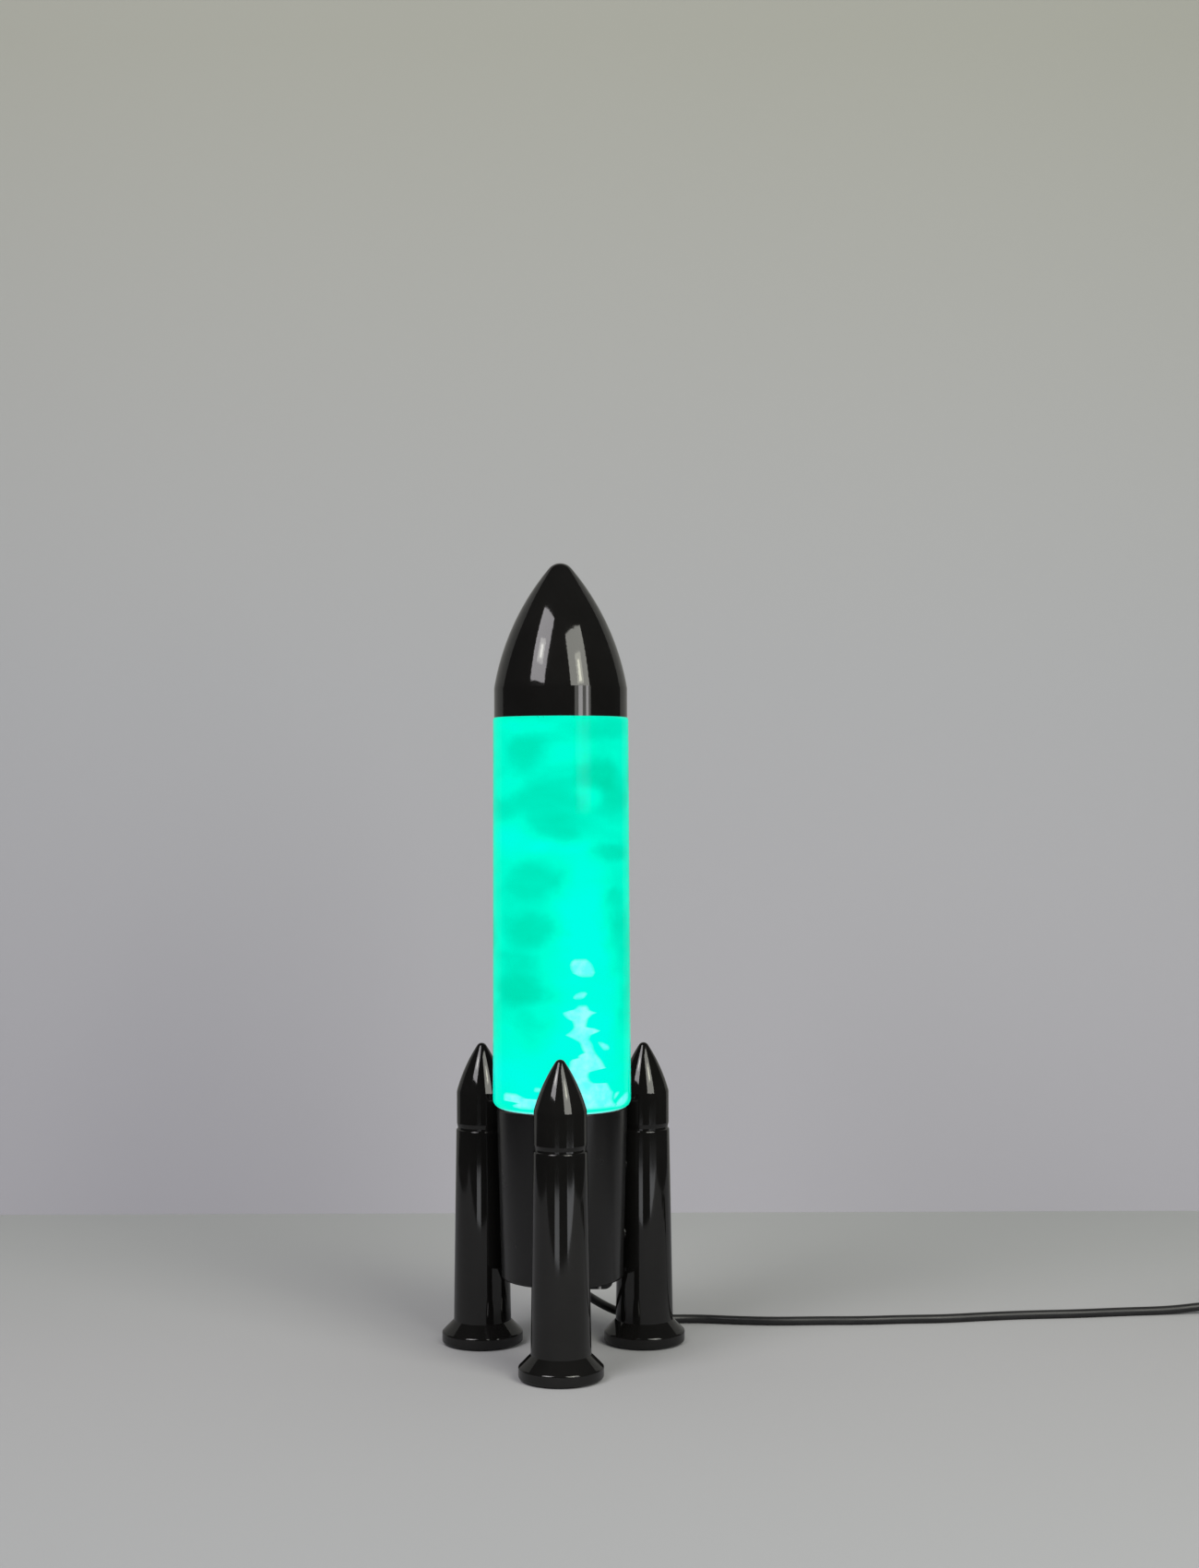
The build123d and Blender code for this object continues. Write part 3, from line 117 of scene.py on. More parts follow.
def surface_wear_group():
    """Shared finish of fine bumps and rubbed patches: gives a mask, a roughness and a normal."""
    group = bpy.data.node_groups.new("surface_wear", "ShaderNodeTree")
    sockets = group.interface
    for name in ("Base Roughness", "Roughness Spread", "Grain Scale", "Grain Height", "Patch Scale"):
        sockets.new_socket(name, in_out="INPUT", socket_type="NodeSocketFloat")
    sockets.new_socket("Place", in_out="INPUT", socket_type="NodeSocketVector")
    for name, kind in (("Mask", "NodeSocketFloat"), ("Roughness", "NodeSocketFloat"),
                       ("Normal", "NodeSocketVector")):
        sockets.new_socket(name, in_out="OUTPUT", socket_type=kind)
    nodes, links = group.nodes, group.links
    inlet = nodes.new("NodeGroupInput")
    outlet = nodes.new("NodeGroupOutput")
    patches = nodes.new("ShaderNodeTexNoise")
    patches.inputs["Detail"].default_value = 6.0
    patches.inputs["Roughness"].default_value = 0.62
    links.new(inlet.outputs["Place"], patches.inputs["Vector"])
    links.new(inlet.outputs["Patch Scale"], patches.inputs["Scale"])
    spread = nodes.new("ShaderNodeMapRange")
    spread.inputs["From Min"].default_value = 0.35
    spread.inputs["From Max"].default_value = 0.7
    links.new(patches.outputs["Fac"], spread.inputs["Value"])
    rough = nodes.new("ShaderNodeMath")
    rough.operation = "MULTIPLY_ADD"
    links.new(spread.outputs["Result"], rough.inputs[0])
    links.new(inlet.outputs["Roughness Spread"], rough.inputs[1])
    links.new(inlet.outputs["Base Roughness"], rough.inputs[2])
    grain = nodes.new("ShaderNodeTexNoise")
    grain.inputs["Detail"].default_value = 3.0
    links.new(inlet.outputs["Place"], grain.inputs["Vector"])
    links.new(inlet.outputs["Grain Scale"], grain.inputs["Scale"])
    bump = nodes.new("ShaderNodeBump")
    bump.inputs["Distance"].default_value = 0.0002
    links.new(inlet.outputs["Grain Height"], bump.inputs["Strength"])
    links.new(grain.outputs["Fac"], bump.inputs["Height"])
    links.new(spread.outputs["Result"], outlet.inputs["Mask"])
    links.new(rough.outputs["Value"], outlet.inputs["Roughness"])
    links.new(bump.outputs["Normal"], outlet.inputs["Normal"])
    return group


surface_wear = surface_wear_group()


def worn_finish(name, dark, light, roughness, spread, grain_scale, grain_height, patch_scale,
                metallic=0.0, coat=0.0):
    """A finish whose colour drifts between two tones and whose gloss follows the shared wear group."""
    made, shader = new_material(name)
    wear = made.node_tree.nodes.new("ShaderNodeGroup")
    wear.node_tree = surface_wear
    for key, value in (("Base Roughness", roughness), ("Roughness Spread", spread),
                       ("Grain Scale", grain_scale), ("Grain Height", grain_height),
                       ("Patch Scale", patch_scale)):
        wear.inputs[key].default_value = value
    join(made, object_place(made), wear.inputs["Place"])
    tone = made.node_tree.nodes.new("ShaderNodeValToRGB")
    tone.color_ramp.elements[0].color = (*dark, 1)
    tone.color_ramp.elements[1].color = (*light, 1)
    join(made, wear.outputs["Mask"], tone.inputs["Fac"])
    join(made, tone.outputs["Color"], shader.inputs["Base Color"])
    join(made, wear.outputs["Roughness"], shader.inputs["Roughness"])
    join(made, wear.outputs["Normal"], shader.inputs["Normal"])
    shader.inputs["Metallic"].default_value = metallic
    shader.inputs["Coat Weight"].default_value = coat
    shader.inputs["Coat Roughness"].default_value = 0.03
    return made


jacket = worn_finish("flex_jacket", (0.010, 0.010, 0.011), (0.020, 0.020, 0.021),
                     0.34, 0.12, 700.0, 0.05, 60.0)


def lay_flex(name, points):
    """Round flex as one smooth NURBS curve through its route."""
    bpy.ops.curve.primitive_nurbs_path_add()
    flex = bpy.context.object
    flex.name = name
    curve = flex.data
    curve.splines.clear()
    line = curve.splines.new("NURBS")
    line.points.add(len(points) - 1)
    for spot, (x, y, z) in zip(line.points, points):
        spot.co = (x, y, z, 1)
        spot.radius = FLEX_THICKNESS / 2
    line.order_u = 3
    line.use_endpoint_u = True
    curve.resolution_u = 12
    curve.bevel_depth = 1.0  # times each point's radius
    curve.bevel_resolution = 6
    curve.use_fill_caps = True
    curve.materials.append(jacket)
    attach(flex, "base")
    return flex


def curve_length(flex):
    """Real length of a flex, from its own smooth line."""
    bevel = flex.data.bevel_depth
    flex.data.bevel_depth = 0
    bpy.context.view_layer.update()
    line = bpy.data.meshes.new_from_object(flex)
    flex.data.bevel_depth = bevel
    length = sum((line.vertices[a].co - line.vertices[b].co).length
                 for a, b in (edge.vertices for edge in line.edges))
    bpy.data.meshes.remove(line)
    return length


flex_to_switch = lay_flex("flex_to_switch", FLEX_ROUTE)
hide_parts("power_cord")
round(curve_length(flex_to_switch), 3)


def coil_points():
    """Three turns inward on the table, then three outward on top of them, ending at the right side."""
    points = []
    for index in range(int(COIL_TURNS * POINTS_PER_TURN) + 1):
        turn = index / POINTS_PER_TURN
        angle = math.pi / 2 - 2 * math.pi * turn
        lane = min(turn, COIL_TURNS - turn) - COIL_MIDDLE_TURN
        lane = max(-1.0, min(1.0, lane))
        radius = COIL_RADIUS - lane * FLEX_THICKNESS
        climb = max(0.0, min(1.0, (turn - COIL_CLIMB_START) / COIL_CLIMB_TURNS))
        climb = climb * climb * (3 - 2 * climb)
        height = COIL_LOW + (COIL_HIGH - COIL_LOW) * climb
        points.append((COIL_CENTRE[0] + radius * math.cos(angle),
                       COIL_CENTRE[1] + radius * math.sin(angle), height))
    return points


FLEX_TO_COIL = (SWITCH_END_OUT, (0.463, 0.0892, 0.0045), (0.475, 0.0888, 0.0036))
FLEX_TO_PLUG = ((0.5200, 0.0440, 0.0066), (0.5212, 0.0310, 0.0056), (0.5220, 0.0120, 0.00725))
flex_to_plug = lay_flex("flex_to_plug", (*FLEX_TO_COIL, *coil_points(), *FLEX_TO_PLUG))
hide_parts("cord_switch_to_coil", "cord_coil", "cord_coil_to_plug")
round(curve_length(flex_to_plug), 3)


# ---------------------------------------------------------------- Boosters
# Three booster pods stand round the base as legs. Body, bullet tip and flared foot are turned
# from black resin and sprayed with gloss lacquer, and a rubber pad is let in under each foot.


def paint(node, made):
    """Gives a CAD node a finish."""
    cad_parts[node].data.materials.clear()
    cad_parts[node].data.materials.append(made)


lacquer = worn_finish("gloss_lacquer", (0.0054, 0.0052, 0.0049), (0.0082, 0.0079, 0.0075),
                      0.045, 0.045, 240.0, 0.010, 24.0)
soft_rubber = worn_finish("foot_rubber", (0.018, 0.018, 0.018), (0.035, 0.034, 0.033),
                          0.7, 0.15, 1200.0, 0.2, 60.0)
plated = worn_finish("plated_steel", (0.55, 0.55, 0.54), (0.70, 0.70, 0.69),
                     0.22, 0.15, 900.0, 0.05, 80.0, metallic=1.0)
for side in ("front", "left", "right"):
    paint(f"booster_body_{side}", lacquer)
    paint(f"booster_nose_{side}", lacquer)
    paint(f"booster_foot_{side}", lacquer)
    paint(f"foot_pad_{side}", soft_rubber)
paint("booster_screws", plated)


# ---------------------------------------------------------------- Base
# A tapering drum of spun steel in a satin black lacquer, with a silicone ring under the bottle.
# Its bottom cover and cord clamp are black moulded plastic, held by small plated screws.
moulded = worn_finish("black_moulding", (0.012, 0.012, 0.013), (0.022, 0.022, 0.023),
                      0.38, 0.14, 1500.0, 0.12, 45.0)
silicone = worn_finish("silicone_ring", (0.012, 0.012, 0.012), (0.022, 0.022, 0.022),
                       0.5, 0.15, 900.0, 0.1, 60.0)
satin = worn_finish("satin_lacquer", (0.0045, 0.0044, 0.0046), (0.0072, 0.0071, 0.0073),
                    0.20, 0.08, 500.0, 0.02, 30.0)
paint("base_housing", satin)
paint("seat_gasket", silicone)
paint("bottom_cover", moulded)
paint("cord_clamp_cover", moulded)
paint("cover_screws", plated)
paint("cord_clamp_screws", plated)


# ---------------------------------------------------------------- Lampholder and lamp
# A glazed ceramic holder with a brass contact sits on the bottom cover, inside a bright
# aluminium tube. It takes a small reflector lamp with a screw cap.
brass = worn_finish("turned_brass", (0.62, 0.42, 0.16), (0.80, 0.60, 0.28),
                    0.22, 0.15, 900.0, 0.05, 80.0, metallic=1.0)
glazed = worn_finish("glazed_ceramic", (0.74, 0.72, 0.66), (0.82, 0.80, 0.75),
                     0.16, 0.1, 300.0, 0.03, 40.0, coat=0.3)
mirrored = worn_finish("mirrored_lamp_glass", (0.70, 0.70, 0.69), (0.80, 0.80, 0.79),
                       0.12, 0.12, 300.0, 0.03, 50.0, metallic=0.9)
paint("lampholder_body", glazed)
paint("lampholder_contact", brass)
paint("lampholder_terminals", brass)
paint("lampholder_shell", plated)
paint("lampholder_screws", plated)
paint("heat_shield", worn_finish("spun_aluminium", (0.66, 0.66, 0.67), (0.80, 0.80, 0.81),
                                 0.28, 0.12, 700.0, 0.06, 30.0, metallic=1.0))
paint("shield_screws", plated)
paint("live_wire", worn_finish("brown_core", (0.10, 0.035, 0.012), (0.16, 0.06, 0.02),
                               0.4, 0.1, 900.0, 0.05, 80.0))
paint("neutral_wire", worn_finish("blue_core", (0.01, 0.05, 0.25), (0.02, 0.09, 0.36),
                                  0.4, 0.1, 900.0, 0.05, 80.0))
paint("bulb_envelope", mirrored)
paint("bulb_cap", plated)
paint("bulb_contact", brass)
paint("bulb_filament", plated)


# ---------------------------------------------------------------- Bottle
# Blown clear glass, nearly straight-sided with a rounded heel, and closed under the nose cone
# by a plated crown cap over a thin liner.
BOTTLE_FOOT = 0.1345
BOTTLE_SEAT = 0.3460
BOTTLE_RADIUS = 0.0376
BOTTLE_TAPER = 0.0007
HEEL_CENTRE = (0.0331, 0.1390)
HEEL_ROUND = 0.0045
GLASS_INDEX = 1.10  # lower than real glass, so that the wall shows hardly any reflections


def place_node(made, kind, **inputs):
    """A new node with these inputs set, an underscore standing for a space in a name."""
    node = made.node_tree.nodes.new(kind)
    for key, value in inputs.items():
        node.inputs[key.replace("_", " ")].default_value = value
    return node


def bottle_radius(height):
    """Outer radius of the glass at a height."""
    share = (height - BOTTLE_FOOT) / (BOTTLE_SEAT - BOTTLE_FOOT)
    return BOTTLE_RADIUS - BOTTLE_TAPER * share


bottle_glass, shader = new_material("bottle_glass")
shader.inputs["Base Color"].default_value = (0.97, 1.0, 0.99, 1)
shader.inputs["IOR"].default_value = GLASS_INDEX
shader.inputs["Transmission Weight"].default_value = 1.0
ripples = place_node(bottle_glass, "ShaderNodeTexNoise", Scale=60.0, Detail=2.0)
join(bottle_glass, object_place(bottle_glass), ripples.inputs["Vector"])
blown = place_node(bottle_glass, "ShaderNodeMapRange", To_Min=0.0, To_Max=0.03)
join(bottle_glass, ripples.outputs["Fac"], blown.inputs["Value"])
join(bottle_glass, blown.outputs["Result"], shader.inputs["Roughness"])
paint("glass_bottle", bottle_glass)
paint("cap_liner", silicone)


SMOOTH_UNDER = math.radians(40)


def turned(name, rings, sides):
    """A turned form on the lamp's axis: a disc extruded upwards and scaled at every ring."""
    bpy.ops.object.select_all(action="DESELECT")
    radius, height = rings[0]
    bpy.ops.mesh.primitive_circle_add(vertices=sides, radius=radius, fill_type="NGON",
                                      location=(0, 0, height))
    piece = bpy.context.object
    piece.name = name
    bpy.ops.object.transform_apply(location=True, rotation=True, scale=True)
    bpy.ops.object.mode_set(mode="EDIT")
    bpy.ops.mesh.select_all(action="SELECT")
    for (old_radius, old_height), (new_radius, new_height) in zip(rings, rings[1:]):
        bpy.ops.mesh.extrude_region_move(
            TRANSFORM_OT_translate={"value": (0, 0, new_height - old_height)})
        scale = new_radius / old_radius
        bpy.ops.transform.resize(value=(scale, scale, 1), center_override=(0, 0, new_height))
    bpy.ops.mesh.select_all(action="SELECT")
    bpy.ops.mesh.normals_make_consistent(inside=False)
    bpy.ops.object.mode_set(mode="OBJECT")
    bpy.ops.object.shade_smooth_by_angle(angle=SMOOTH_UNDER)
    return piece


CAP_TOP = 0.3894
CAP_INSIDE = 0.0132
CAP_HOLLOW = 0.0063
CAP_METAL = 0.0005
CAP_FLAT = 0.0050
CAP_FLUTES = 21
CAP_FLUTE_DEPTH = 0.00055
CAP_FLUTES_BELOW = 0.0020
CAP_FLUTES_FADE = 0.0040
# From the skirt's rim up: how far out from the inside, and how far under the top
CAP_PROFILE = ((0.0015, 0.0071), (0.0020, 0.0069), (0.0012, 0.0040), (0.0007, 0.0012),
               (0.0002, 0.0003), (-0.0008, 0.0))
crown = turned("fluted_crown_cap", (*((CAP_INSIDE + out, CAP_TOP - under) for out, under in CAP_PROFILE),
                                    (CAP_FLAT, CAP_TOP)), sides=4 * CAP_FLUTES)
for corner in crown.data.vertices:
    reach = math.hypot(corner.co.x, corner.co.y)
    low = max(0.0, min(1.0, (CAP_TOP - CAP_FLUTES_BELOW - corner.co.z) / CAP_FLUTES_FADE))
    turn = math.atan2(corner.co.y, corner.co.x)
    press = 1 - CAP_FLUTE_DEPTH / reach * low * (1 - math.cos(CAP_FLUTES * turn)) / 2
    corner.co.x *= press
    corner.co.y *= press
bpy.ops.object.mode_set(mode="EDIT")
bpy.ops.mesh.select_mode(type="FACE")
bpy.ops.mesh.select_all(action="DESELECT")
bpy.ops.object.mode_set(mode="OBJECT")
for face in crown.data.polygons:
    face.select = face.normal.z < -0.9
bpy.ops.object.mode_set(mode="EDIT")
bpy.ops.mesh.inset(thickness=CAP_METAL)
bpy.ops.mesh.extrude_region_move(TRANSFORM_OT_translate={"value": (0, 0, CAP_HOLLOW)})
bpy.ops.mesh.select_mode(type="VERT")
bpy.ops.object.mode_set(mode="OBJECT")
crown.data.materials.append(plated)
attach(crown, "bottle")
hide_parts("crown_cap")


# ---------------------------------------------------------------- Liquid
# Turquoise liquid that glows from the lamp under it, its glow painted in as emission. The glow is cloudy and
# brightest low down, and a filled bottle looks full to its very skin, so it reaches almost to the outside of
# the glass.
LIQUID_SKIN = 0.0004
LIQUID_SIDES = 128
HEEL_STEPS = (15, 30, 45, 60, 75, 90)
LIQUID_LEVELS = (0.160, 0.190, 0.220, 0.250, 0.280, 0.310, 0.330, 0.3446)
LIQUID_IN_SPIGOT = ((0.0270, 0.1271), (0.0286, 0.1282), (0.0286, 0.1348))
LIQUID_IN_SHOULDER = ((0.0363, 0.3452), (0.0358, 0.3455), (0.0350, 0.34555), (0.0314, 0.3456),
                      (0.0314, 0.3520), (0.0300, 0.3600), (0.0270, 0.3650), (0.0220, 0.3695))


def heel_ring(degrees):
    """Radius and height of the liquid on the bottle's rounded heel."""
    round_off = HEEL_ROUND - LIQUID_SKIN
    angle = math.radians(degrees)
    return HEEL_CENTRE[0] + round_off * math.sin(angle), HEEL_CENTRE[1] - round_off * math.cos(angle)


liquid = turned("liquid", (
    *LIQUID_IN_SPIGOT,
    (HEEL_CENTRE[0], BOTTLE_FOOT + LIQUID_SKIN),
    *(heel_ring(degrees) for degrees in HEEL_STEPS),
    *((bottle_radius(level) - LIQUID_SKIN, level) for level in LIQUID_LEVELS),
    *LIQUID_IN_SHOULDER,
), sides=LIQUID_SIDES)
PATCH_EDGE = 1.35
PATCH_CORE = 0.15


def soft_patch_group():
    """One soft-edged elliptical patch: adds its strength, faded towards its edge, to what came before."""
    group = bpy.data.node_groups.new("soft_patch", "ShaderNodeTree")
    sockets = group.interface
    for name in ("Place", "Centre", "Size"):
        sockets.new_socket(name, in_out="INPUT", socket_type="NodeSocketVector")
    for name in ("Strength", "Before"):
        sockets.new_socket(name, in_out="INPUT", socket_type="NodeSocketFloat")
    sockets.new_socket("Total", in_out="OUTPUT", socket_type="NodeSocketFloat")
    nodes, links = group.nodes, group.links
    inlet = nodes.new("NodeGroupInput")
    outlet = nodes.new("NodeGroupOutput")
    apart = nodes.new("ShaderNodeVectorMath")
    apart.operation = "SUBTRACT"
    links.new(inlet.outputs["Place"], apart.inputs[0])
    links.new(inlet.outputs["Centre"], apart.inputs[1])
    sized = nodes.new("ShaderNodeVectorMath")
    sized.operation = "DIVIDE"
    links.new(apart.outputs["Vector"], sized.inputs[0])
    links.new(inlet.outputs["Size"], sized.inputs[1])
    reach = nodes.new("ShaderNodeVectorMath")
    reach.operation = "LENGTH"
    links.new(sized.outputs["Vector"], reach.inputs[0])
    fade = nodes.new("ShaderNodeMapRange")
    fade.interpolation_type = "SMOOTHERSTEP"
    fade.inputs["From Min"].default_value = PATCH_EDGE
    fade.inputs["From Max"].default_value = PATCH_CORE
    links.new(reach.outputs["Value"], fade.inputs["Value"])
    add = nodes.new("ShaderNodeMath")
    add.operation = "MULTIPLY_ADD"
    links.new(fade.outputs["Result"], add.inputs[0])
    links.new(inlet.outputs["Strength"], add.inputs[1])
    links.new(inlet.outputs["Before"], add.inputs[2])
    links.new(add.outputs["Value"], outlet.inputs["Total"])
    return group


# Patches of brighter and darker painted glow, first those in front: place round the bottle, height, half
# width, half height, and a strength that is below zero where the glow is darker
GLOW_PATCHES = (
    (-0.0200, 0.3270, 0.0110, 0.0070, -0.34), (0.0290, 0.3400, 0.0170, 0.0050, -0.34),
    (0.0235, 0.3150, 0.0110, 0.0060, -0.48), (0.0360, 0.3030, 0.0120, 0.0080, -0.46),
    (-0.0060, 0.3020, 0.0160, 0.0085, -0.36), (-0.0015, 0.2870, 0.0150, 0.0055, -0.36),
    (0.0320, 0.2730, 0.0130, 0.0040, -0.44), (-0.0145, 0.2578, 0.0150, 0.0080, -0.34),
    (-0.0180, 0.2328, 0.0140, 0.0070, -0.40), (0.0330, 0.2490, 0.0075, 0.0045, -0.30),
    (-0.0380, 0.2970, 0.0130, 0.0060, -0.20), (0.0370, 0.2360, 0.0080, 0.0060, -0.22),
    (-0.0260, 0.2013, 0.0150, 0.0075, -0.48), (-0.0270, 0.2164, 0.0110, 0.0045, -0.30),
    (-0.0140, 0.1750, 0.0110, 0.0060, -0.20), (-0.0170, 0.1840, 0.0090, 0.0045, -0.18),
    (0.0450, 0.1750, 0.0120, 0.0180, -0.25), (0.0440, 0.2200, 0.0120, 0.0180, -0.25),
    (-0.0250, 0.2796, 0.0170, 0.0080, 0.42), (0.0125, 0.2480, 0.0120, 0.0260, 0.50),
    (0.0170, 0.3038, 0.0065, 0.0050, 0.24), (0.0025, 0.3256, 0.0110, 0.0050, 0.22),
    (-0.0215, 0.3410, 0.0140, 0.0030, 0.20), (-0.0010, 0.2760, 0.0130, 0.0035, 0.24),
    (-0.0330, 0.3080, 0.0110, 0.0060, 0.18), (0.0150, 0.2000, 0.0190, 0.0300, 0.44),
    (0.0100, 0.1600, 0.0400, 0.0220, 0.40), (-0.0300, 0.1500, 0.0250, 0.0150, 0.30),
    (0.0700, 0.3150, 0.0140, 0.0080, -0.42), (0.0920, 0.2850, 0.0150, 0.0070, -0.40),
    (0.0720, 0.2500, 0.0130, 0.0090, -0.36), (0.0880, 0.2100, 0.0160, 0.0070, -0.40),
    (-0.0720, 0.3240, 0.0150, 0.0070, -0.40), (-0.0900, 0.2700, 0.0140, 0.0080, -0.42),
    (-0.0680, 0.2300, 0.0150, 0.0070, -0.36), (-0.0860, 0.1900, 0.0140, 0.0080, -0.34),
    (0.0800, 0.1700, 0.0260, 0.0200, 0.36), (-0.0760, 0.1560, 0.0260, 0.0160, 0.34),
)
DRIFT_SPREAD = 1.5
DRIFT_FADE = 0.82
STIR = (0.014, 0.0, 0.007)
CLOUD_STRETCH = (1.0, 1.0, 2.2)
# Painted light: below these heights the liquid's glow turns pale at its foot
PALE_RIM_TOP = 0.1362
PALE_RIM_FOOT = 0.1350
cloudy, shader = new_material("glowing_liquid")
spot = cloudy.node_tree.nodes.new("ShaderNodeSeparateXYZ")
join(cloudy, object_place(cloudy), spot.inputs["Vector"])
toward = cloudy.node_tree.nodes.new("ShaderNodeMath")
toward.operation = "MULTIPLY"
toward.inputs[1].default_value = -1.0
join(cloudy, spot.outputs["Y"], toward.inputs[0])
turn_round = cloudy.node_tree.nodes.new("ShaderNodeMath")
turn_round.operation = "ARCTAN2"
join(cloudy, spot.outputs["X"], turn_round.inputs[0])
join(cloudy, toward.outputs["Value"], turn_round.inputs[1])
round_bottle = cloudy.node_tree.nodes.new("ShaderNodeMath")
round_bottle.operation = "MULTIPLY"
round_bottle.inputs[1].default_value = BOTTLE_RADIUS
join(cloudy, turn_round.outputs["Value"], round_bottle.inputs[0])
unrolled = cloudy.node_tree.nodes.new("ShaderNodeCombineXYZ")
join(cloudy, round_bottle.outputs["Value"], unrolled.inputs["X"])
join(cloudy, spot.outputs["Z"], unrolled.inputs["Z"])
swirl = place_node(cloudy, "ShaderNodeTexNoise", Scale=70.0, Detail=3.0, Roughness=0.55)
join(cloudy, object_place(cloudy), swirl.inputs["Vector"])
centred = cloudy.node_tree.nodes.new("ShaderNodeVectorMath")
centred.operation = "SUBTRACT"
centred.inputs[1].default_value = (0.5, 0.5, 0.5)
join(cloudy, swirl.outputs["Color"], centred.inputs[0])
stir = cloudy.node_tree.nodes.new("ShaderNodeVectorMath")
stir.operation = "MULTIPLY_ADD"
stir.inputs[1].default_value = STIR
join(cloudy, centred.outputs["Vector"], stir.inputs[0])
join(cloudy, unrolled.outputs["Vector"], stir.inputs[2])
stretch = cloudy.node_tree.nodes.new("ShaderNodeMapping")
stretch.inputs["Scale"].default_value = CLOUD_STRETCH
join(cloudy, object_place(cloudy), stretch.inputs["Vector"])
clouds = place_node(cloudy, "ShaderNodeTexNoise", Scale=34.0, Detail=4.0, Roughness=0.5,
                    Distortion=0.4)
join(cloudy, stretch.outputs["Vector"], clouds.inputs["Vector"])
haze = place_node(cloudy, "ShaderNodeMapRange", From_Min=0.3, From_Max=0.7, To_Min=0.44, To_Max=0.62)
join(cloudy, clouds.outputs["Fac"], haze.inputs["Value"])
glow = haze.outputs["Result"]
soft_patch = soft_patch_group()
for across, height, half_width, half_height, strength in GLOW_PATCHES:
    painted_light = cloudy.node_tree.nodes.new("ShaderNodeGroup")
    painted_light.node_tree = soft_patch
    painted_light.inputs["Centre"].default_value = (across, 0, height)
    painted_light.inputs["Size"].default_value = (half_width * DRIFT_SPREAD, 1.0, half_height * DRIFT_SPREAD)
    painted_light.inputs["Strength"].default_value = strength * DRIFT_FADE
    join(cloudy, stir.outputs["Vector"], painted_light.inputs["Place"])
    join(cloudy, glow, painted_light.inputs["Before"])
    glow = painted_light.outputs["Total"]
tone = cloudy.node_tree.nodes.new("ShaderNodeValToRGB")
tone.color_ramp.elements[0].position = 0.02
tone.color_ramp.elements[0].color = (0.0, 0.71, 0.43, 1)
tone.color_ramp.elements[1].position = 1.0
tone.color_ramp.elements[1].color = (0.0, 1.0, 0.80, 1)
for position, colour in ((0.35, (0.0, 0.84, 0.54, 1)), (0.62, (0.0, 1.0, 0.66, 1))):
    tone.color_ramp.elements.new(position).color = colour
join(cloudy, glow, tone.inputs["Fac"])
rim = place_node(cloudy, "ShaderNodeMapRange", From_Min=PALE_RIM_TOP, From_Max=PALE_RIM_FOOT)
join(cloudy, spot.outputs["Z"], rim.inputs["Value"])
pale_rim = cloudy.node_tree.nodes.new("ShaderNodeMix")
pale_rim.data_type = "RGBA"
pale_rim.inputs["B"].default_value = (0.25, 1.0, 1.0, 1)
join(cloudy, rim.outputs["Result"], pale_rim.inputs["Factor"])
join(cloudy, tone.outputs["Color"], pale_rim.inputs["A"])
join(cloudy, pale_rim.outputs["Result"], shader.inputs["Emission Color"])
shader.inputs["Emission Strength"].default_value = 1.0
shader.inputs["Base Color"].default_value = (0.0, 0.004, 0.003, 1)
shader.inputs["Roughness"].default_value = 1.0
shader.inputs["Specular IOR Level"].default_value = 0.0
liquid.data.materials.append(cloudy)
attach(liquid, "bottle")
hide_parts("lamp_fluid")


# ---------------------------------------------------------------- Wax
# Pale wax that has just begun to melt: flat jagged flakes climb the bottle's near wall from
# the heap on its floor, where a steel wire coil lies in the wax.
WAX_SKIN = 0.00025
WAX_THICKNESS = 0.0012
WAX_EDGE = 0.0016
FLAKE_COLUMNS = 12
MM_PER_METRE = 1000
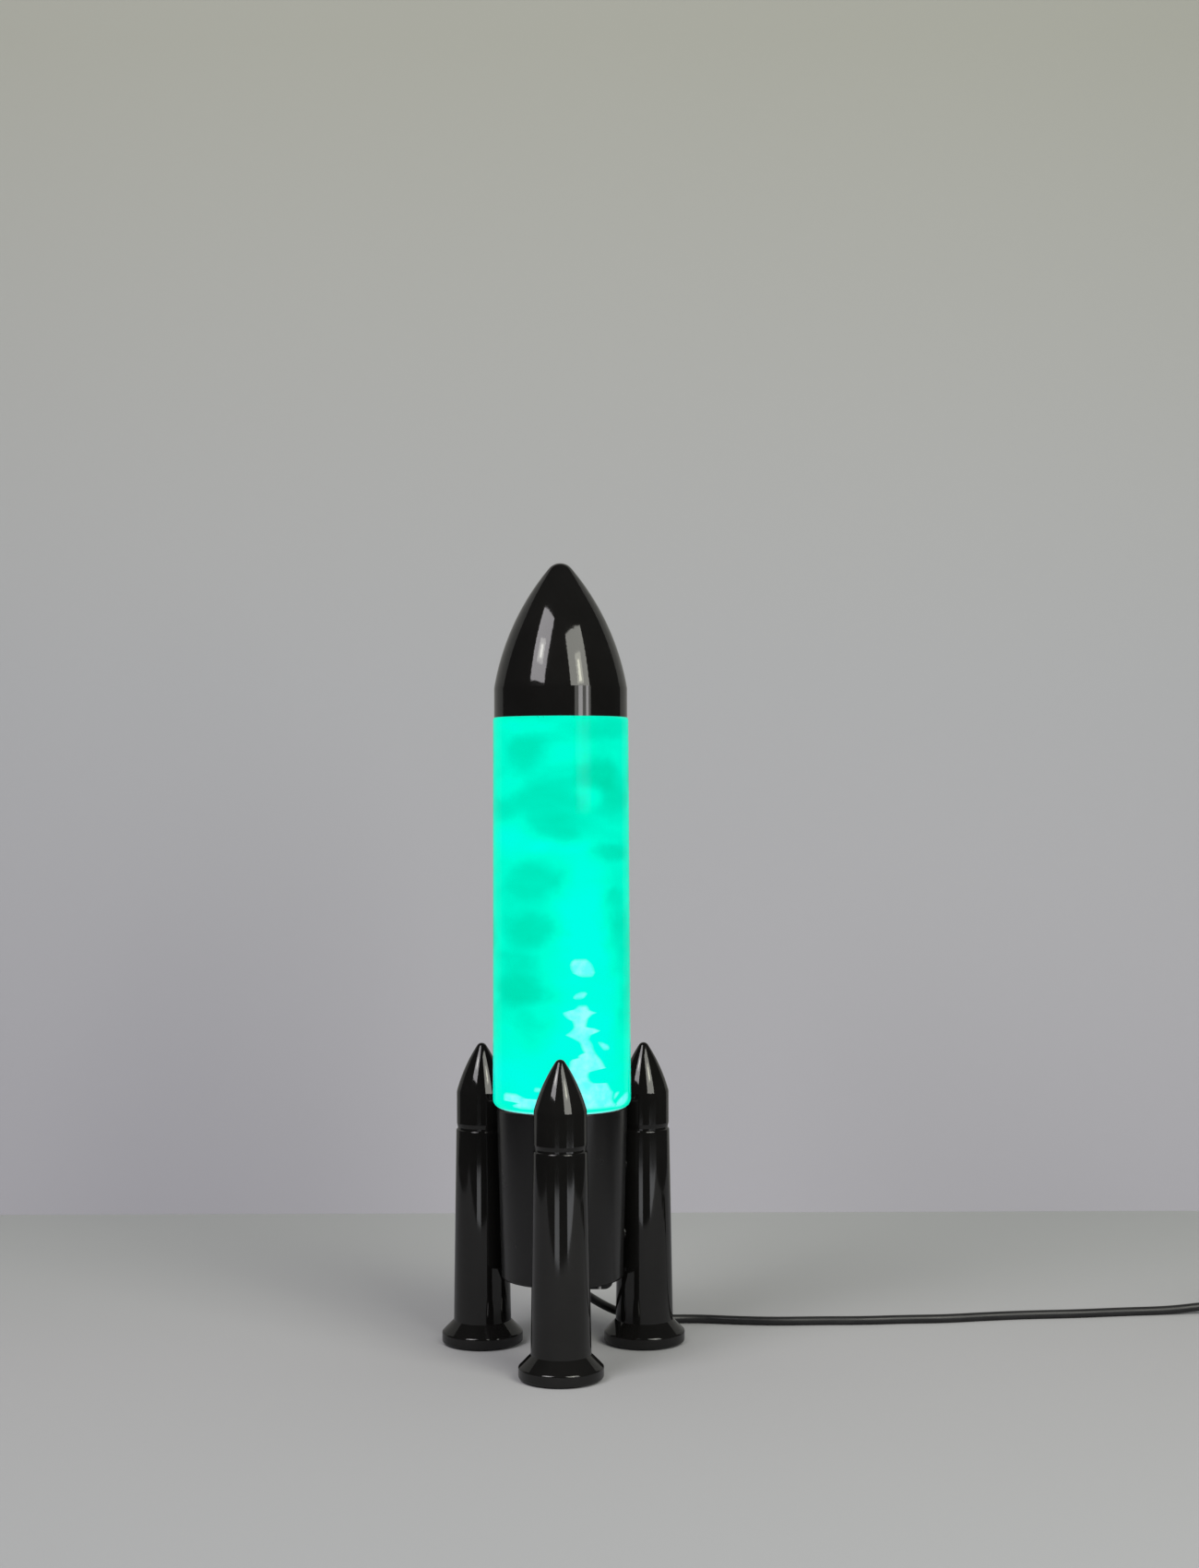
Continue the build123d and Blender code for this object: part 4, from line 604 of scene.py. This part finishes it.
# Each flake: rows of height, left edge and right edge, in millimetres
FLAKES = {
    "wax_blob": ((217.5, 7.0, 13.6), (216.1, 5.6, 15.4), (214.3, 4.9, 17.0), (212.2, 5.2, 17.9),
                 (209.8, 6.4, 18.5), (208.4, 9.1, 17.7), (207.5, 11.8, 17.0)),
    "wax_dash": ((200.1, 10.6, 13.3), (198.9, 7.9, 14.4), (197.7, 6.7, 13.6), (196.7, 6.5, 12.7),
                 (195.8, 8.2, 10.6)),
    "wax_plume": (
        (193.1, 9.1, 13.9), (191.6, 8.0, 15.0), (190.7, 6.7, 15.4), (190.1, 3.9, 15.7),
        (189.2, 1.2, 17.6), (188.6, 1.0, 19.4), (187.7, 1.5, 17.0), (186.8, 2.3, 16.0),
        (185.9, 3.3, 15.0), (184.6, 5.8, 14.5), (183.1, 6.5, 14.1), (181.6, 6.7, 13.9),
        (181.0, 6.5, 14.8), (180.4, 6.2, 18.2), (179.5, 5.3, 20.0), (178.9, 4.6, 21.2),
        (178.0, 3.3, 19.4), (177.2, 2.4, 17.0), (176.5, 3.9, 16.0), (175.6, 5.8, 15.7),
        (174.7, 7.3, 15.4), (173.5, 9.4, 16.2), (172.2, 10.2, 17.0), (171.0, 10.6, 17.4),
        (169.5, 11.1, 17.7), (167.7, 12.2, 18.6), (166.8, 10.0, 19.1), (166.1, 9.1, 19.6),
        (165.0, 8.9, 20.4), (164.3, 5.8, 21.0), (163.2, 4.6, 21.8), (161.4, 4.2, 22.8),
        (159.8, 4.0, 23.6), (158.9, 3.9, 24.3), (158.3, 3.8, 20.3), (157.4, 3.7, 15.7),
        (156.2, 3.6, 15.0), (154.7, 3.5, 15.0), (152.6, 3.3, 16.0), (151.4, 3.2, 17.6),
        (150.8, 3.0, 24.8), (149.3, 2.8, 25.7), (147.4, 2.5, 26.6), (145.6, 2.2, 28.0),
        (143.8, 2.0, 27.7), (142.0, 1.8, 27.4), (140.2, 1.6, 28.1), (138.6, 1.4, 29.6),
        (137.2, 1.2, 30.6)),
    "wax_fleck": ((173.2, 19.4, 21.2), (172.5, 19.7, 22.7), (171.3, 20.3, 25.0), (170.1, 21.2, 25.8),
                  (168.9, 22.1, 26.1), (168.1, 23.0, 25.1)),
    "wax_chip": ((145.6, 29.2, 31.2), (144.4, 28.2, 31.1), (142.9, 27.8, 29.9), (141.4, 27.7, 28.7)),
    "wax_edge": ((144.1, 34.2, 35.7), (142.6, 32.4, 35.9), (140.8, 30.2, 35.9), (139.3, 29.0, 35.2),
                 (138.0, 28.6, 34.0), (137.0, 28.6, 31.5)),
    "wax_shelf": ((145.5, -29.6, -23.9), (144.7, -30.4, -22.1), (143.8, -31.0, -19.7), (142.9, -31.1, -10.0),
                  (142.0, -31.1, -9.0), (140.9, -31.0, -8.8), (140.2, -23.6, -8.6), (139.0, -26.0, -8.4),
                  (138.1, -25.7, -8.2), (137.2, -20.3, -8.0)),
    "wax_step": ((149.6, -13.9, -11.2), (148.6, -14.2, -10.0), (147.7, -14.5, -9.6), (146.8, -13.9, -9.4)),
}
# The wax's light from the lamp is painted in as emission: a pale, marbled glow that fades to the liquid's
# turquoise towards each flake's thin edge
glowing_wax, shader = new_material("glowing_wax")
marbling = place_node(glowing_wax, "ShaderNodeTexNoise", Scale=160.0, Detail=3.0, Roughness=0.5)
join(glowing_wax, object_place(glowing_wax), marbling.inputs["Vector"])
tint = glowing_wax.node_tree.nodes.new("ShaderNodeValToRGB")
tint.color_ramp.elements[0].position = 0.35
tint.color_ramp.elements[0].color = (0.12, 1.0, 0.97, 1)
tint.color_ramp.elements[1].position = 0.65
tint.color_ramp.elements[1].color = (0.30, 1.0, 1.0, 1)
join(glowing_wax, marbling.outputs["Fac"], tint.inputs["Fac"])
inward = glowing_wax.node_tree.nodes.new("ShaderNodeAttribute")
inward.attribute_name = "paleness"
thin_edge = glowing_wax.node_tree.nodes.new("ShaderNodeMix")
thin_edge.data_type = "RGBA"
thin_edge.inputs["A"].default_value = (0.0, 1.0, 0.74, 1)
join(glowing_wax, inward.outputs["Fac"], thin_edge.inputs["Factor"])
join(glowing_wax, tint.outputs["Color"], thin_edge.inputs["B"])
join(glowing_wax, thin_edge.outputs["Result"], shader.inputs["Emission Color"])
shader.inputs["Emission Strength"].default_value = 1.0
shader.inputs["Base Color"].default_value = (0.01, 0.02, 0.02, 1)
shader.inputs["Roughness"].default_value = 0.8
shader.inputs["Specular IOR Level"].default_value = 0.0


def wax_flake(name, rows):
    """A thin sheet of wax laid against the inside of the bottle, closed by its own thickness."""
    bpy.ops.object.select_all(action="DESELECT")
    bpy.ops.mesh.primitive_grid_add(x_subdivisions=FLAKE_COLUMNS, y_subdivisions=len(rows) - 1, size=1,
                                    location=(0, 0, 0))
    flake = bpy.context.object
    flake.name = name
    bpy.ops.object.transform_apply(location=True, rotation=True, scale=True)
    # How far in from its flake's edge each corner lies, which sets how pale its painted glow is
    paleness = flake.data.attributes.new("paleness", "FLOAT", "POINT")
    for corner in flake.data.vertices:
        across = corner.co.x + 0.5
        row = round((0.5 - corner.co.y) * (len(rows) - 1))
        height, left, right = (size / MM_PER_METRE for size in rows[row])
        skin = bottle_radius(height) - WAX_SKIN
        if height < HEEL_CENTRE[1]:
            drop = HEEL_CENTRE[1] - height
            skin = HEEL_CENTRE[0] + math.sqrt((HEEL_ROUND - WAX_SKIN) ** 2 - drop**2)
        x = left + (right - left) * (1 - math.cos(math.pi * across)) / 2
        corner.co = (x, -math.sqrt(skin**2 - x**2), height)
        top, bottom = rows[0][0] / MM_PER_METRE, rows[-1][0] / MM_PER_METRE
        inward = min(x - left, right - x, top - height, height - bottom)
        paleness.data[corner.index].value = min(1.0, inward / WAX_EDGE)
    solid = flake.modifiers.new("thickness", "SOLIDIFY")
    solid.thickness = WAX_THICKNESS
    solid.offset = -1
    bpy.ops.object.modifier_apply(modifier="thickness")
    bpy.ops.object.mode_set(mode="EDIT")
    bpy.ops.mesh.select_all(action="SELECT")
    bpy.ops.mesh.normals_make_consistent(inside=False)
    bpy.ops.object.mode_set(mode="OBJECT")
    bpy.ops.object.shade_smooth_by_angle(angle=SMOOTH_UNDER)
    flake.data.materials.append(glowing_wax)
    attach(flake, "bottle")
    return flake


flakes = [wax_flake(name, rows) for name, rows in FLAKES.items()]
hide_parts("wax_blobs")
paint("wax_mound", glowing_wax)
paint("wax_coil_spring", plated)


# ---------------------------------------------------------------- Nose cone
# A bullet-shaped cap of spun metal in the same gloss lacquer as the boosters. Nothing fastens it:
# it rests on the bottle's shoulder and lifts off.
paint("nose_cone", lacquer)


# ---------------------------------------------------------------- Switch, strain reliefs, tie and plug
# The in-line switch and the plug are moulded black plastic. The switch has brass contacts and
# plated screws, the plug has plated pins, and a plastic tie holds the coil.
# The flex leaves the base and the plug through ribbed, tapering sleeves.
for name in ("switch_lower_shell", "switch_upper_shell", "switch_rocker", "plug_body", "cable_tie"):
    paint(name, moulded)
paint("switch_contacts", brass)
paint("switch_screws", plated)
paint("plug_pins", plated)


SLEEVE_SIDES = 40
RIB_WIDTH = 0.62
RIB_EDGE = 0.06
GROOVE_END = 0.96
GROOVE_DEPTH = 0.0006


def ribbed_sleeve(name, root, tip, root_radius, tip_radius, ribs):
    """A tapering sleeve with a groove after each rib, laid from its root to its tip."""
    start, end = Vector(root), Vector(tip)
    length = (end - start).length
    rings = []
    for rib in range(ribs):
        near, far = rib / ribs, (rib + RIB_WIDTH) / ribs
        groove_start, groove_end = far + RIB_EDGE / ribs, near + GROOVE_END / ribs
        for share, dip in ((near, 0.0), (far, 0.0), (groove_start, GROOVE_DEPTH),
                           (groove_end, GROOVE_DEPTH)):
            radius = root_radius + (tip_radius - root_radius) * share - dip
            rings.append((radius, length * share))
    rings.append((tip_radius, length))
    sleeve = turned(name, rings, sides=SLEEVE_SIDES)
    sleeve.rotation_euler = (end - start).to_track_quat("Z", "Y").to_euler()
    sleeve.location = start
    bpy.ops.object.select_all(action="DESELECT")
    sleeve.select_set(True)
    bpy.context.view_layer.objects.active = sleeve
    bpy.ops.object.transform_apply(location=True, rotation=True, scale=True)
    sleeve.data.materials.append(jacket)
    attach(sleeve, "base")
    return sleeve


lamp_sleeve = ribbed_sleeve("lamp_sleeve", (-0.002, -0.002, 0.041), FLEX_ROUTE[0], 0.0038, 0.0031, 6)
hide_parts("strain_relief")
plug_sleeve = ribbed_sleeve("plug_sleeve", (0.522, -0.008, 0.00725), FLEX_TO_PLUG[-1], 0.0046, 0.0031, 6)
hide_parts("plug_strain_relief")


# ---------------------------------------------------------------- Studio
# A grey table and backdrop, two softboxes with hot centres, a dimmer strip and two bright stands
# under the right one, and two low panels in front that only the lacquer mirrors.
WALL_DEPTH = 0.403
MIRRORED_TABLE_FRONT = -0.40
MIRROR_GAP = 0.0005
# Spans over which the table's and the wall's grey is graded as painted light and shade
TABLE_LIGHT_SPAN = (-0.35, 0.40)
WALL_LIGHT_SPAN = (0.0, 0.85)
MIDDLE_STOP = 0.45


def studio_sheet(name, low, high, near, middle, far):
    """Sheet between two corners, unseen from its back; its grey is graded from edge to edge as painted light
    and shade.
    """
    bpy.ops.object.select_all(action="DESELECT")
    bpy.ops.mesh.primitive_plane_add(size=1)
    sheet = bpy.context.object
    sheet.name = name
    for corner in sheet.data.vertices:
        side, rise = corner.co.x + 0.5, corner.co.y + 0.5
        corner.co = (low[0] + (high[0] - low[0]) * side, low[1] + (high[1] - low[1]) * rise,
                     low[2] + (high[2] - low[2]) * rise)
    made, shader = new_material(name)
    where = made.node_tree.nodes.new("ShaderNodeSeparateXYZ")
    join(made, object_place(made), where.inputs["Vector"])
    upright = high[2] > low[2]
    start, end = WALL_LIGHT_SPAN if upright else TABLE_LIGHT_SPAN
    painted_light = place_node(made, "ShaderNodeMapRange", From_Min=start, From_Max=end)
    join(made, where.outputs["Z" if upright else "Y"], painted_light.inputs["Value"])
    tone = made.node_tree.nodes.new("ShaderNodeValToRGB")
    tone.color_ramp.elements[0].color = (*near, 1)
    tone.color_ramp.elements[1].color = (*far, 1)
    tone.color_ramp.elements.new(MIDDLE_STOP).color = (*middle, 1)
    join(made, painted_light.outputs["Result"], tone.inputs["Fac"])
    join(made, tone.outputs["Color"], shader.inputs["Base Color"])
    side_seen = made.node_tree.nodes.new("ShaderNodeNewGeometry")
    front_only = place_node(made, "ShaderNodeMapRange", To_Min=1.0, To_Max=0.0)
    join(made, side_seen.outputs["Backfacing"], front_only.inputs["Value"])
    join(made, front_only.outputs["Result"], shader.inputs["Alpha"])
    shader.inputs["Roughness"].default_value = 0.95
    shader.inputs["Specular IOR Level"].default_value = 0.0
    sheet.data.materials.append(made)
    return sheet


# Painted light and shade: the table is darker towards its front, and the wall is lighter at its foot and
# darker towards its top
table = studio_sheet("table_top", (-3.0, -3.0, 0), (3.0, WALL_DEPTH, 0),
                     (0.368, 0.374, 0.384), (0.409, 0.409, 0.417), (0.430, 0.442, 0.431))
wall = studio_sheet("wall", (-3.0, WALL_DEPTH, 0), (3.0, WALL_DEPTH, 2.4),
                    (0.453, 0.445, 0.485), (0.391, 0.396, 0.411), (0.330, 0.334, 0.301))
# What the black lacquer mirrors: a smaller, darker table and backdrop, with dark room beyond them
mirror_depth = WALL_DEPTH - MIRROR_GAP
mirrored_table = studio_sheet("mirrored_table", (-0.60, MIRRORED_TABLE_FRONT, MIRROR_GAP),
                              (0.60, mirror_depth, MIRROR_GAP), *[(0.30, 0.30, 0.31)] * 3)
mirrored_wall = studio_sheet("mirrored_wall", (-0.85, mirror_depth, 0), (0.60, mirror_depth, 1.0),
                             *[(0.30, 0.30, 0.29)] * 3)
for sheet in (table, wall):
    sheet.visible_glossy = False
for sheet in (mirrored_table, mirrored_wall):
    sheet.visible_camera = False
    sheet.visible_diffuse = False
    sheet.visible_transmission = False
    sheet.visible_shadow = False


def panel_light(name, azimuth, elevation, distance, aim_height, width, height, radiance, colour):
    """Rectangular light facing the lamp's axis at a height."""
    aim = Vector((0, 0, aim_height))
    az, el = math.radians(azimuth), math.radians(elevation)
    way = Vector((math.sin(az) * math.cos(el), -math.cos(az) * math.cos(el), math.sin(el)))
    bpy.ops.object.light_add(type="AREA", location=aim + way * distance)
    light = bpy.context.object
    light.name = name
    light.data.shape = "RECTANGLE"
    light.data.size = width
    light.data.size_y = height
    light.data.energy = radiance * math.pi * width * height
    light.data.color = colour
    light.rotation_euler = way.to_track_quat("Z", "Y").to_euler()


NOSE_HEIGHT = 0.37
BOOSTER_HEIGHT = 0.08
panel_light("softbox_left", -41, 39, 1.30, NOSE_HEIGHT, 0.60, 0.82, 6.0, (1.0, 0.97, 1.0))
panel_light("softbox_left_middle", -41, 36, 1.28, NOSE_HEIGHT, 0.24, 0.26, 4.0, (1.0, 1.0, 0.94))
panel_light("softbox_left_core", -41, 36, 1.27, NOSE_HEIGHT, 0.10, 0.14, 8.0, (1.0, 1.0, 0.90))
panel_light("softbox_right", 36, 28, 1.30, NOSE_HEIGHT, 0.74, 0.96, 4.8, (1.0, 1.0, 0.92))
panel_light("softbox_right_middle", 37, 28, 1.28, NOSE_HEIGHT, 0.24, 0.34, 3.5, (1.0, 1.0, 0.84))
panel_light("softbox_right_core", 37, 27, 1.27, NOSE_HEIGHT, 0.10, 0.22, 8.0, (1.0, 1.0, 0.80))
panel_light("softbox_right_skirt", 39, 1.5, 1.30, NOSE_HEIGHT, 0.66, 0.24, 1.7, (1.0, 1.0, 0.95))
panel_light("stand_near", 35, -0.5, 1.28, NOSE_HEIGHT, 0.16, 0.14, 5.0, (1.0, 0.98, 1.0))
panel_light("stand_far", 47, -0.5, 1.28, NOSE_HEIGHT, 0.10, 0.14, 5.0, (1.0, 0.98, 1.0))
panel_light("low_panel_left", -13, -11, 1.25, BOOSTER_HEIGHT, 0.38, 0.17, 1.7, (0.95, 0.97, 1.0))
panel_light("low_panel_right", 42, -11, 1.25, BOOSTER_HEIGHT, 0.66, 0.17, 2.0, (0.95, 0.97, 1.0))
# The glowing bottle is kept out of mirrored and bounced light, so it doesn't tint the lacquer
for piece in (liquid, *flakes, *[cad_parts[name] for name in ("glass_bottle", "wax_mound")]):
    piece.visible_glossy = False
    piece.visible_diffuse = False

ROOM_LIGHT = 0.38
MIRRORED_ROOM_LIGHT = 0.03
world = bpy.data.worlds.new("studio")
world.use_nodes = True
sky = world.node_tree.nodes["Background"]
sky.inputs["Color"].default_value = (0.98, 0.99, 1.0, 1)
path = world.node_tree.nodes.new("ShaderNodeLightPath")
dim = world.node_tree.nodes.new("ShaderNodeMapRange")
dim.inputs["To Min"].default_value = ROOM_LIGHT
dim.inputs["To Max"].default_value = MIRRORED_ROOM_LIGHT
world.node_tree.links.new(path.outputs["Is Glossy Ray"], dim.inputs["Value"])
world.node_tree.links.new(dim.outputs["Result"], sky.inputs["Strength"])
bpy.context.scene.world = world
bpy.context.scene.view_settings.view_transform = "Standard"

bpy.context.view_layer.update()
